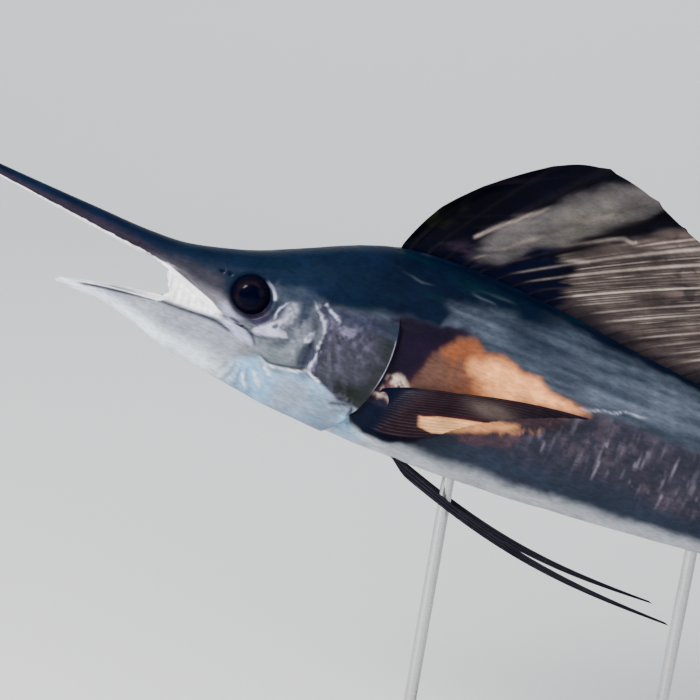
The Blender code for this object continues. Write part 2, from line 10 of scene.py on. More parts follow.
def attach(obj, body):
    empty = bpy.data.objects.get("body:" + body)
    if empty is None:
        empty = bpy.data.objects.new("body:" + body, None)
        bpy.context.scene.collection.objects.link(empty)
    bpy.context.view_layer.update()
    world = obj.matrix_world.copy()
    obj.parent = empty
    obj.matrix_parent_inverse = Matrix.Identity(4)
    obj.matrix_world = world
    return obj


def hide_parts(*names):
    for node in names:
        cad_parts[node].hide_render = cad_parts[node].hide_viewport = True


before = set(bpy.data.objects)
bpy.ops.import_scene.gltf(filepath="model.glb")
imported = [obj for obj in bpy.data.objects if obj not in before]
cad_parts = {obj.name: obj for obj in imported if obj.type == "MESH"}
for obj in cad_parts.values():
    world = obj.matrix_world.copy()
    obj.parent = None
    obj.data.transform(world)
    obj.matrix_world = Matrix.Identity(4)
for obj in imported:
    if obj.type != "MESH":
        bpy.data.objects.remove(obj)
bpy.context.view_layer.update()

print("frame loaded with", len(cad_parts), "nodes")

# The fish is built straight in its own frame: x runs tailward from the closed jaw's tip, z up from
# the body's axis, left side at -y. fishPose then sweeps the tail and sets it head-up over the base.
fishPose = {
    "pitch": math.radians(12),
    "pivot": 0.62,
    "floorClearance": 0.04,
    "lobeTip": 1.86,
    "lobeRise": 0.3,
    "tailSweep": 0.07,
    "sweepStart": 0.8,
}
axisHeight = (fishPose["floorClearance"]
              + (fishPose["lobeTip"] - fishPose["pivot"]) * math.sin(fishPose["pitch"])
              + fishPose["lobeRise"] * math.cos(fishPose["pitch"]))


# small tools

def blend(low, high, value):
    t = np.clip((value - low) / (high - low), 0, 1)
    return t * t * (3 - 2 * t)


def fade(low, high, value):
    return 1 - blend(low, high, value)


def band(value, *edges):
    # rises over the first two edges and falls over the last two
    return blend(*edges[:2], value) * fade(*edges[2:], value)


def points(*row):
    # x and z in mm, one point after another
    return np.array(row).reshape(-1, 2) / 1000


def lump(value, width):
    return np.exp(-(value / width) ** 2)


def throughKnots(knots, soften=0.0):
    # smooth curve through (place, value) knots, then rubbed down over the length soften
    at, value = (np.array(column, float) for column in zip(*knots))
    slope = np.gradient(value, at)
    table = np.linspace(at[0], at[-1], 2400)
    i = np.clip(np.searchsorted(at, table, side="right") - 1, 0, len(at) - 2)
    span = at[i + 1] - at[i]
    t = (table - at[i]) / span
    a, b = value[i], value[i + 1]
    rise = 3 * (b - a) - span * (2 * slope[i] + slope[i + 1])
    bow = 2 * (a - b) + span * (slope[i] + slope[i + 1])
    made = a + t * (span * slope[i] + t * (rise + t * bow))
    if soften:
        step = table[1] - table[0]
        n = int(3 * soften / step)
        weight = np.exp(-0.5 * (np.arange(-n, n + 1) * step / soften) ** 2)
        ends = (2 * made[0] - made[n:0:-1], made, 2 * made[-1] - made[-2:-n - 2:-1])
        made = np.convolve(np.concatenate(ends), weight / weight.sum(), "valid")
    return lambda x: np.interp(x, table, made)


def softNoise(points, size, seed=0):
    # smooth random values from -1 to 1, with one lump to each size
    p = points / size + 17.31 * seed
    cell = np.floor(p).astype(np.int64)
    f = p - cell
    f = f * f * (3 - 2 * f)
    total = np.zeros(len(p))
    for corner in itertools.product((0, 1), repeat=3):
        c = cell + np.array(corner)
        h = (c[:, 0] * 374761393 + c[:, 1] * 668265263 + c[:, 2] * 2147483647 + seed
             * 974711) & 0xFFFFFFFF
        h = ((h ^ (h >> 13)) * 1274126177) & 0xFFFFFFFF
        h = (h ^ (h >> 16)) & 0xFFFF
        share = np.prod([f[:, k] if corner[k] else 1 - f[:, k] for k in range(3)], axis=0)
        total += share * (h / 32767.5 - 1)
    return total


def nearPath(x, z, path):
    # distance to a path in the upright plane, signed (positive behind or below), and the share along it
    px, pz = (np.array(column, float) for column in zip(*path))
    best = np.full(x.shape, 9.0)
    side, share = np.zeros(x.shape), np.zeros(x.shape)
    for k in range(len(px) - 1):
        dx, dz = px[k + 1] - px[k], pz[k + 1] - pz[k]
        t = np.clip(((x - px[k]) * dx + (z - pz[k]) * dz) / (dx * dx + dz * dz), 0, 1)
        ox, oz = x - px[k] - t * dx, z - pz[k] - t * dz
        d = np.hypot(ox, oz)
        near = d < best
        best = np.where(near, d, best)
        side = np.where(near, np.sign(ox * -dz + oz * dx), side)
        share = np.where(near, (k + t) / (len(px) - 1), share)
    return best, best * side, share


def inShape(x, z, corners, soft):
    # 1 inside a closed outline, 0 outside, with a soft edge
    corners = np.array(corners, float)
    low, high = corners.min(0) - soft, corners.max(0) + soft
    near = (x > low[0]) & (x < high[0]) & (z > low[1]) & (z < high[1])
    px, pz = x[near], z[near]
    closed = np.concatenate((corners, corners[:1]))
    d, _, _ = nearPath(px, pz, closed)
    inside = np.zeros(len(px), bool)
    for (ax, az), (bx, bz) in zip(closed[:-1], closed[1:]):
        if az != bz:
            inside ^= ((az > pz) != (bz > pz)) & (px < (bx - ax) * (pz - az) / (bz - az) + ax)
    mask = np.zeros(len(x))
    mask[near] = blend(-soft, soft, np.where(inside, d, -d))
    return mask


def finePath(path, count=40):
    # the same path with its corners rounded
    px, pz = (np.array(column, float) for column in zip(*path))
    k = np.arange(len(path))
    s = np.linspace(0, len(path) - 1, count)
    roundX, roundZ = throughKnots(list(zip(k, px)), 0.25), throughKnots(list(zip(k, pz)), 0.25)
    return list(zip(roundX(s), roundZ(s)))


def toWorld(points):
    # from the fish's straight frame to its place over the base
    points = np.asarray(points, float)
    x, y, z = points[..., 0], points[..., 1], points[..., 2]
    y = y + fishPose["tailSweep"] * (np.maximum(x - fishPose["sweepStart"], 0)
                                     / (fishPose["lobeTip"] - fishPose["sweepStart"])) ** 2
    x = x - fishPose["pivot"]
    c, s = math.cos(fishPose["pitch"]), math.sin(fishPose["pitch"])
    return np.stack((x * c + z * s, y, -x * s + z * c + axisHeight), -1)


def setTint(mesh, tint):
    # the painted colour of each point, read by the materials
    mesh.attributes.new("tint", "FLOAT_COLOR", "POINT")
    rgba = np.ones((len(mesh.vertices), 4), np.float32)
    rgba[:, :3] = np.clip(tint, 0, 1)
    mesh.attributes["tint"].data.foreach_set("color", rgba.ravel())


def setValue(mesh, name, values):
    mesh.attributes.new(name, "FLOAT", "POINT").data.foreach_set("value", values.astype(np.float32))


def setPlace(mesh, places):
    # where each point is on the straight fish, so that scales and grain follow the body
    mesh.attributes.new("fishPlace", "FLOAT_VECTOR", "POINT")
    mesh.attributes["fishPlace"].data.foreach_set("vector", places.astype(np.float32).ravel())


def fixNormals(mesh):
    # every face looks outward
    shaped = bmesh.new()
    shaped.from_mesh(mesh)
    bmesh.ops.recalc_face_normals(shaped, faces=shaped.faces)
    shaped.to_mesh(mesh)
    shaped.free()


def addPiece(name, mesh, finish, slot, *nodes):
    piece = bpy.data.objects.new(name, mesh)
    bpy.context.scene.collection.objects.link(piece)
    mesh.materials.clear()
    mesh.materials.append(finish)
    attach(piece, "root")
    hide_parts(*nodes)


# materials

def newMaterial(name):
    made = bpy.data.materials.new(name)
    made.use_nodes = True
    nodes, links = made.node_tree.nodes, made.node_tree.links
    return made, nodes, links, nodes["Principled BSDF"]


def addNode(nodes, kind, **values):
    node = nodes.new(kind)
    for key, value in values.items():
        if key in node.inputs:
            node.inputs[key].default_value = value
        else:
            setattr(node, key, value)
    return node


def stretchedPlace(nodes, links, scale):
    place = addNode(nodes, "ShaderNodeAttribute", attribute_name="fishPlace")
    stretch = addNode(nodes, "ShaderNodeMapping")
    stretch.inputs["Scale"].default_value = scale
    links.new(place.outputs["Vector"], stretch.inputs["Vector"])
    return stretch.outputs["Vector"]


def rangeNode(nodes, links, source, low, high, outLow, outHigh):
    node = addNode(nodes, "ShaderNodeMapRange")
    node.inputs["From Min"].default_value = low
    node.inputs["From Max"].default_value = high
    node.inputs["To Min"].default_value = outLow
    node.inputs["To Max"].default_value = outHigh
    links.new(source, node.inputs["Value"])
    return node.outputs["Result"]


def tintedBy(nodes, links, colour, grain, amount):
    # darkens and lightens a colour by a grain that runs around 0.5
    mix = addNode(nodes, "ShaderNodeMix", data_type="RGBA", blend_type="MULTIPLY")
    mix.inputs[0].default_value = 1.0
    ramp = rangeNode(nodes, links, grain, 0.25, 0.75, 1 - amount, 1 + amount)
    links.new(colour, mix.inputs[6])
    links.new(ramp, mix.inputs[7])
    return mix.outputs[2]


def bumpChain(nodes, links, shader, *layers):
    # layers are (height, distance in metres, strength); the wet film over them follows only the first
    last = mild = None
    for height, distance, strength in layers:
        bump = addNode(nodes, "ShaderNodeBump")
        bump.inputs["Distance"].default_value = distance
        bump.inputs["Strength"].default_value = strength
        links.new(height, bump.inputs["Height"])
        if last:
            links.new(last, bump.inputs["Normal"])
        last = bump.outputs["Normal"]
        mild = mild or last
    links.new(last, shader.inputs["Normal"])
    links.new(mild, shader.inputs["Coat Normal"])


skinFinish = {
    "roughness": (0.4, 0.6),
    "coatWeight": 0.06,
    "coatRoughness": 0.22,
    "scaleStretch": (95.0, 330.0, 330.0),
    "scaleDepth": 0.00045,
    "pebbleDepth": 0.0003,
    "mottle": 0.3,
}


def makeSkinMaterial():
    s = skinFinish
    made, nodes, links, shader = newMaterial("fishSkin")
    tint = addNode(nodes, "ShaderNodeAttribute", attribute_name="tint")
    wide = addNode(nodes, "ShaderNodeTexNoise", Scale=38.0, Detail=7.0, Roughness=0.62)
    links.new(stretchedPlace(nodes, links, (0.6, 1.0, 1.0)), wide.inputs["Vector"])
    fine = addNode(nodes, "ShaderNodeTexNoise", Scale=320.0, Detail=4.0, Roughness=0.6)
    links.new(stretchedPlace(nodes, links, (0.45, 1.0, 1.0)), fine.inputs["Vector"])
    scales = addNode(nodes, "ShaderNodeTexVoronoi", feature="F1", Scale=1.0, Randomness=0.9)
    links.new(stretchedPlace(nodes, links, s["scaleStretch"]), scales.inputs["Vector"])
    mottled = tintedBy(nodes, links, tint.outputs["Color"], wide.outputs["Fac"], s["mottle"])
    speckled = tintedBy(nodes, links, mottled, fine.outputs["Fac"], 0.16)
    flecked = tintedBy(nodes, links, speckled, scales.outputs["Distance"], 0.1)
    links.new(flecked, shader.inputs["Base Color"])
    links.new(rangeNode(nodes, links, wide.outputs["Fac"], 0.3, 0.7, *s["roughness"]),
              shader.inputs["Roughness"])
    shader.inputs["Coat Weight"].default_value = s["coatWeight"]
    shader.inputs["Coat Roughness"].default_value = s["coatRoughness"]
    shader.inputs["Specular IOR Level"].default_value = 0.04
    bumpChain(nodes, links, shader,
              (wide.outputs["Fac"], 0.0018, 0.35),
              (scales.outputs["Distance"], s["scaleDepth"], 0.55),
              (fine.outputs["Fac"], s["pebbleDepth"], 0.55))
    return made


finFinish = {"roughness": (0.4, 0.6), "coatWeight": 0.025, "coatRoughness": 0.2, "wrinkleDepth": 0.0006}


def makeFinMaterial(name):
    s = finFinish
    made, nodes, links, shader = newMaterial(name)
    tint = addNode(nodes, "ShaderNodeAttribute", attribute_name="tint")
    wide = addNode(nodes, "ShaderNodeTexNoise", Scale=70.0, Detail=7.0, Roughness=0.65)
    links.new(stretchedPlace(nodes, links, (0.5, 1.0, 1.0)), wide.inputs["Vector"])
    fine = addNode(nodes, "ShaderNodeTexNoise", Scale=420.0, Detail=3.0, Roughness=0.6)
    links.new(stretchedPlace(nodes, links, (0.4, 1.0, 1.0)), fine.inputs["Vector"])
    mottled = tintedBy(nodes, links, tint.outputs["Color"], wide.outputs["Fac"], 0.34)
    speckled = tintedBy(nodes, links, mottled, fine.outputs["Fac"], 0.18)
    links.new(speckled, shader.inputs["Base Color"])
    links.new(rangeNode(nodes, links, wide.outputs["Fac"], 0.3, 0.7, *s["roughness"]),
              shader.inputs["Roughness"])
    shader.inputs["Coat Weight"].default_value = s["coatWeight"]
    shader.inputs["Coat Roughness"].default_value = s["coatRoughness"]
    shader.inputs["Specular IOR Level"].default_value = 0.03
    bumpChain(nodes, links, shader,
              (wide.outputs["Fac"], s["wrinkleDepth"], 0.5),
              (fine.outputs["Fac"], 0.0002, 0.5))
    return made


def makeEyeMaterial():
    made, nodes, links, shader = newMaterial("fishEye")
    tint = addNode(nodes, "ShaderNodeAttribute", attribute_name="tint")
    fibres = addNode(nodes, "ShaderNodeTexNoise", Scale=260.0, Detail=5.0, Roughness=0.6)
    links.new(stretchedPlace(nodes, links, (1.0, 1.0, 1.0)), fibres.inputs["Vector"])
    links.new(tintedBy(nodes, links, tint.outputs["Color"], fibres.outputs["Fac"], 0.35),
              shader.inputs["Base Color"])
    shader.inputs["Roughness"].default_value = 0.3
    shader.inputs["Specular IOR Level"].default_value = 0.01
    shader.inputs["Coat Weight"].default_value = 0.09
    shader.inputs["Coat Roughness"].default_value = 0.03
    shader.inputs["Coat IOR"].default_value = 1.38
    return made


woodFinish = {"dark": (0.055, 0.024, 0.01, 1), "light": (0.17, 0.08, 0.034, 1), "ringScale": 5.5}


def makeWoodMaterial():
    s = woodFinish
    made, nodes, links, shader = newMaterial("walnutBase")
    place = addNode(nodes, "ShaderNodeTexCoord")
    stretch = addNode(nodes, "ShaderNodeMapping")
    stretch.inputs["Scale"].default_value = (0.9, 7.0, 7.0)
    links.new(place.outputs["Object"], stretch.inputs["Vector"])
    rings = addNode(nodes, "ShaderNodeTexWave", wave_type="RINGS", rings_direction="X",
                    Scale=s["ringScale"],
                    Distortion=9.0, Detail=3.0)
    rings.inputs["Detail Scale"].default_value = 1.4
    links.new(stretch.outputs["Vector"], rings.inputs["Vector"])
    pores = addNode(nodes, "ShaderNodeTexNoise", Scale=46.0, Detail=6.0, Roughness=0.7)
    links.new(stretch.outputs["Vector"], pores.inputs["Vector"])
    ramp = addNode(nodes, "ShaderNodeValToRGB")
    ramp.color_ramp.elements[0].color = s["dark"]
    ramp.color_ramp.elements[1].color = s["light"]
    links.new(rings.outputs["Fac"], ramp.inputs["Fac"])
    grained = tintedBy(nodes, links, ramp.outputs["Color"], pores.outputs["Fac"], 0.35)
    links.new(grained, shader.inputs["Base Color"])
    links.new(rangeNode(nodes, links, pores.outputs["Fac"], 0.3, 0.7, 0.3, 0.44),
              shader.inputs["Roughness"])
    shader.inputs["Coat Weight"].default_value = 0.25
    shader.inputs["Coat Roughness"].default_value = 0.2
    bumpChain(nodes, links, shader, (pores.outputs["Fac"], 0.0003, 0.6),
              (rings.outputs["Fac"], 0.0002, 0.4))
    return made


def makeSteelMaterial():
    made, nodes, links, shader = newMaterial("brushedRod")
    place = addNode(nodes, "ShaderNodeTexCoord")
    stretch = addNode(nodes, "ShaderNodeMapping")
    stretch.inputs["Scale"].default_value = (1.0, 1.0, 28.0)
    links.new(place.outputs["Object"], stretch.inputs["Vector"])
    brush = addNode(nodes, "ShaderNodeTexNoise", Scale=60.0, Detail=5.0, Roughness=0.7)
    links.new(stretch.outputs["Vector"], brush.inputs["Vector"])
    steel = addNode(nodes, "ShaderNodeRGB")
    steel.outputs[0].default_value = (0.56, 0.56, 0.57, 1)
    links.new(tintedBy(nodes, links, steel.outputs[0], brush.outputs["Fac"], 0.1),
              shader.inputs["Base Color"])
    shader.inputs["Metallic"].default_value = 1.0
    links.new(rangeNode(nodes, links, brush.outputs["Fac"], 0.3, 0.7, 0.22, 0.36),
              shader.inputs["Roughness"])
    bumpChain(nodes, links, shader, (brush.outputs["Fac"], 0.00008, 0.6))
    return made


# the body's outline

bodyShape = {
    "back": points(
        -300, 55, -200, 47.8, -100, 40.1, 31, 31.6, 100, 27.8, 140, 29, 175, 36, 227, 51, 271, 70,
        325, 95, 379, 113, 431, 119.5, 500, 120, 600, 111, 700, 97, 800, 86, 900, 78, 1000, 70.5,
        1150, 59, 1300, 45.5, 1420, 35, 1520, 27, 1605, 24),
    "belly": points(
        10, -70, 70, -74, 110, -84, 150, -98, 245, -116, 300, -124, 410, -130, 500, -131,
        600, -129, 750, -121, 900, -109, 1000, -98, 1100, -84, 1200, -68, 1300, -52, 1420, -37,
        1520, -27, 1605, -24),
    "flank": points(
        -300, 2.2, -200, 4.5, -100, 6.8, 31, 12, 100, 16.5, 125, 19, 175, 27.5, 235, 40.5, 300, 49,
        360, 54, 420, 56.5, 600, 58, 800, 54.5, 1000, 45.5, 1200, 32, 1350, 22, 1500, 15, 1605, 11),
    "level": points(
        -300, 53, -100, 33.5, 31, 19.8, 125, 10, 175, -5, 235, -12, 300, -10, 420, 0, 1605, 0),
    "billUnder": points(-300, 51, -200, 39.2, -100, 26.9, 31, 8, 125, -4.5, 160, -8),
    "upperLip": points(90, -0.5, 125, -4.5, 150, -13, 180, -25, 210, -36.2, 250, -35),
    "jawEdge": points(10, -65, 75, -52, 139, -45, 210, -37, 250, -36),
    "jawFlank": points(10, 3.5, 40, 8, 75, 14, 139, 26, 210, 38, 250, 43),
    "palate": points(90, 3, 139, 1, 180, -6, 210, -15, 243, -30),
    "upperSeam": points(
        205, -36.2, 235, -34.5, 270, -29, 340, -5, 450, 18, 600, 27, 1000, 22, 1605, 6),
    "lowerSeam": points(
        205, -37.2, 235, -36.4, 270, -37, 340, -34, 450, -35, 600, -40, 1000, -30, 1605, -8),
    "headBoxy": 0.86,
    "underBoxy": 0.92,
    "gillRear": 0.418,
    "gillCurve": 3.0,
    "webFront": 0.1325,
    "jawHinge": 0.243,
    "tailEnd": 1.605,
}
line = {name: throughKnots(knots, 0.006) for name,
        knots in bodyShape.items() if isinstance(knots, np.ndarray)}
for name in ("billUnder", "upperLip", "jawEdge", "jawFlank", "palate"):
    line[name] = throughKnots(bodyShape[name], 0.003)


def gillReach(x):
    return band(x, 0.3, bodyShape["gillRear"], bodyShape["gillRear"], 0.6)


def gillStation(x, z):
    # which station of the straight body a point near the gill opening belongs to
    station = x.copy()
    for _ in range(4):
        station = x + gillReach(station) * bodyShape["gillCurve"] * (z + 0.01) ** 2
    return station


def bodyHalf(x, angle):
    # half of the body's section: angle 0 at the back, pi at the belly. Gives x, half width and height
    boxTop = bodyShape["headBoxy"] + 0.1 * blend(0.25, 0.55, x)
    c, s = np.cos(angle), np.abs(np.sin(angle))
    boxy = np.where(c > 0, boxTop, bodyShape["underBoxy"])

    def section(at):
        level = line["level"](at)
        height = np.where(c > 0, line["back"](at) - level, level - line["belly"](at))
        return line["flank"](at) * s ** boxy, level + np.sign(c) * height * np.abs(c) ** boxy

    h, z = section(x)
    moved = x - gillReach(x) * bodyShape["gillCurve"] * (z + 0.01) ** 2
    h, z = section(moved)
    return moved, h, z


def angleAt(x, z):
    # the section angle that has height z
    level = line["level"](x)
    boxTop = bodyShape["headBoxy"] + 0.1 * blend(0.25, 0.55, x)
    height = np.where(z > level, line["back"](x) - level, level - line["belly"](x))
    share = np.clip(np.abs(z - level) / height, 0, 1) ** (1
                                                          / np.where(z > level, boxTop,
                                                                  bodyShape["underBoxy"]))
    return np.arccos(np.sign(z - level) * share)


def lipHalf(x):
    return 0.94 * line["flank"](x)


def mixed(k, one, other):
    return tuple(a * (1 - k) + b * k for a, b in zip(one, other))


def upperHalf(x, a):
    # back (a 0) down to the upper lip or seam (a 1)
    level, half = line["level"](x), line["flank"](x)
    theta = a * math.radians(128)
    c = np.cos(theta)
    rise = np.where(c > 0, line["back"](x) - level, level - line["billUnder"](x))
    bill = (x, half * np.sin(theta), level + rise * c)
    top = np.clip(a / 0.62, 0, 1) * math.pi / 2
    down = np.clip((a - 0.62) / 0.38, 0, 1)
    boxy = bodyShape["headBoxy"]
    lip = line["upperLip"](x)
    headHalf = np.where(a < 0.62, half * np.sin(top) ** boxy, half - (half - lipHalf(x)) * down ** 2)
    headZ = np.where(a < 0.62, level + (line["back"](x) - level) * np.cos(top) ** boxy, level
                     + (lip - level) * down)
    head = (x, headHalf, headZ)
    whole = bodyHalf(x, a * angleAt(x, line["upperSeam"](x)))
    return mixed(blend(0.205, 0.25, x), mixed(blend(0.085, 0.15, x), bill, head), whole)


def lowerHalf(x, c):
    # lower lip or seam (c 0) down to the chin or belly (c 1)
    phi = c * math.pi / 2
    edge = line["jawEdge"](x)
    jaw = (x, line["jawFlank"](x) * np.cos(phi), edge - (edge - line["belly"](x)) * np.sin(phi) ** 0.9)
    start = angleAt(x, line["lowerSeam"](x))
    whole = bodyHalf(x, start + c * (math.pi - start))
    return mixed(blend(0.205, 0.25, x), jaw, whole)


def webHalf(x, w, inside=0.0):
    # skin of the mouth's corner from the upper lip (w 0) to the lower lip (w 1); behind it, plain flank
    top, foot = upperHalf(x, np.ones_like(w)), lowerHalf(x, np.zeros_like(w))
    depth = 0.004 * band(x, 0.132, 0.146, 0.19, 0.225)
    tuck = band(w, 0, 0.1, 0.9, 1.0)
    front = 0.0115 * np.sin(math.pi * w ** 2.2) * fade(0.132, 0.175, x)
    h = top[1] + (foot[1] - top[1]) * w - depth * tuck - inside
    web = (x + front, h, top[2] + (foot[2] - top[2]) * w)
    start, stop = angleAt(x, line["upperSeam"](x)), angleAt(x, line["lowerSeam"](x))
    whole = bodyHalf(x, start + w * (stop - start))
    whole = (whole[0], whole[1] - inside, whole[2])
    return mixed(blend(0.225, 0.262, x), web, whole)


def wallThickness(x):
    return 0.006 * blend(bodyShape["webFront"], bodyShape["webFront"] + 0.02, x)


def palateHalf(x, p):
    # from the upper lip's inner edge (p 0) up to the middle of the palate (p 1)
    level, half = line["level"](x), line["flank"](x)
    theta = math.radians(128) + p * math.radians(52)
    bill = (x, half * np.sin(theta), level + (level - line["billUnder"](x)) * np.cos(theta))
    lip = upperHalf(x, np.ones_like(p))
    h = np.maximum(lip[1] - wallThickness(x), 0.0015)
    roof = line["palate"](x)
    arch = (x, h * np.cos(p * math.pi / 2), lip[2] + (roof - lip[2]) * np.sin(p * math.pi / 2) ** 0.8)
    return mixed(blend(0.085, bodyShape["webFront"], x), bill, arch)


def floorHalf(x, q):
    # from the lower lip (q 0) over its thickness and down to the middle of the mouth's floor (q 1)
    lip = lowerHalf(x, np.zeros_like(q))
    h = np.maximum(lip[1] - wallThickness(x), 0.001)
    rim = 0.004 * blend(0.01, 0.06, x)
    depth = 0.02 * blend(0.012, 0.16, x) + 0.0004
    over = np.clip(q / 0.25, 0, 1)
    down = np.clip((q - 0.25) / 0.75, 0, 1)
    inner = np.maximum(h - rim, 0.2 * h)
    across = np.where(q < 0.25, h - (h - inner) * over, inner * np.cos(down * math.pi / 2))
    height = np.where(q < 0.25, lip[2] + 0.0009 * np.sin(over * math.pi), lip[2] - depth
                      * np.sin(down * math.pi / 2))
    return x, across, height


# relief of the head and trunk

headLines = {
    "cheekRear": finePath(points(
        305.2, 25.4, 313.6, 16.9, 324, 6, 330, -3.9, 330.5, -17.4, 331.5, -32.3, 332, -46.1,
        330.5, -56, 336.4, -62.8, 349.6, -66.8), 60),
    "cheekBranch": finePath(points(319, 24, 329, 19, 338, 13, 350.9, 7.8)),
    "cheekLow": finePath(points(
        269, -60, 278.1, -66, 289.4, -66.5, 304.1, -64, 320.2, -61.2, 329, -57)),
    "eyePlateLow": finePath(points(248, -42, 255.2, -44, 274.9, -38.5, 289.7, -32.6)),
    "jawCrease": finePath(points(
        218, -31.8, 223.8, -33.5, 234.5, -35.7, 243.9, -38.7, 252.3, -43.7, 259, -50.8,
        263.2, -57.4)),
    "lowerLip": finePath(points(
        30, -62.5, 60, -56.5, 100, -50.3, 125, -46.2, 137.2, -44.2, 150, -43.7, 162.2, -43.5,
        183.2, -42.8, 202.4, -42, 215, -44.5, 225.7, -47.5, 234, -50), 60),
    "gillTop": finePath(points(323.4, 24, 340.8, 28.3, 365.7, 31.4, 390, 33, 410, 33)),
    "gillMembrane": finePath(points(
        364, -90, 376, -86.8, 394, -82, 394.5, -94.1, 402.2, -108, 420.8, -115, 450, -119), 60),
    "throatFolds": (finePath(points(256.6, -89.2, 262.6, -98.3, 273.5, -112)),
                    finePath(points(269, -81.2, 276.2, -91.4, 287.3, -103.4)),
                    finePath(points(276.9, -70, 284.5, -76.9, 292.7, -83.5))),
    "orbitRim": finePath(points(271.2, -16.9, 270.1, -7.6, 272.3, 1.4, 277.8, 8.4, 284.8, 13.5)),
    "cheekSpur": finePath(points(329.4, -59, 336.1, -62.9, 343, -65.5, 349.5, -67.2)),
    "eyeGlint": finePath(points(243, 25, 254.5, 19.8, 261, 12, 263.8, 5)),
    "napeLines": (finePath(points(381.4, 95.6, 392.1, 93.2, 405.9, 91.1, 420.2, 87.7, 441.7, 91)),
                  finePath(points(
        407.4, 116.9, 415.3, 117.5, 437.9, 122.1, 454, 122.6, 469.5, 124.5, 483.6, 121.7,
        499.9, 121.5)),
                  finePath(points(478.4, 97, 492.2, 95, 505.2, 95.1, 516.5, 94.5))),
    "lateralLine": finePath(points(
        406, 40, 450, 49, 500, 48, 550, 30, 600, 9, 670, 1, 800, 0, 1100, 0, 1540, 0), 90),
}
eyeSeat = {"at": (0.235, 0.001), "bowl": (0.0185, 0.0275, 0.012)}
nostrils = ((0.193, 0.016), (0.203, 0.0165))


def fadedEnds(share, first=0.12, last=0.1):
    return band(share, 0, first, 1 - last, 1)


def crinkled(x, z):
    # how far the thin bony ridges stray from their lines
    flat = np.stack((x, 0 * x, z), 1)
    return 0.002 * softNoise(flat, 0.008, 22) + 0.0012 * softNoise(flat, 0.0034, 23)


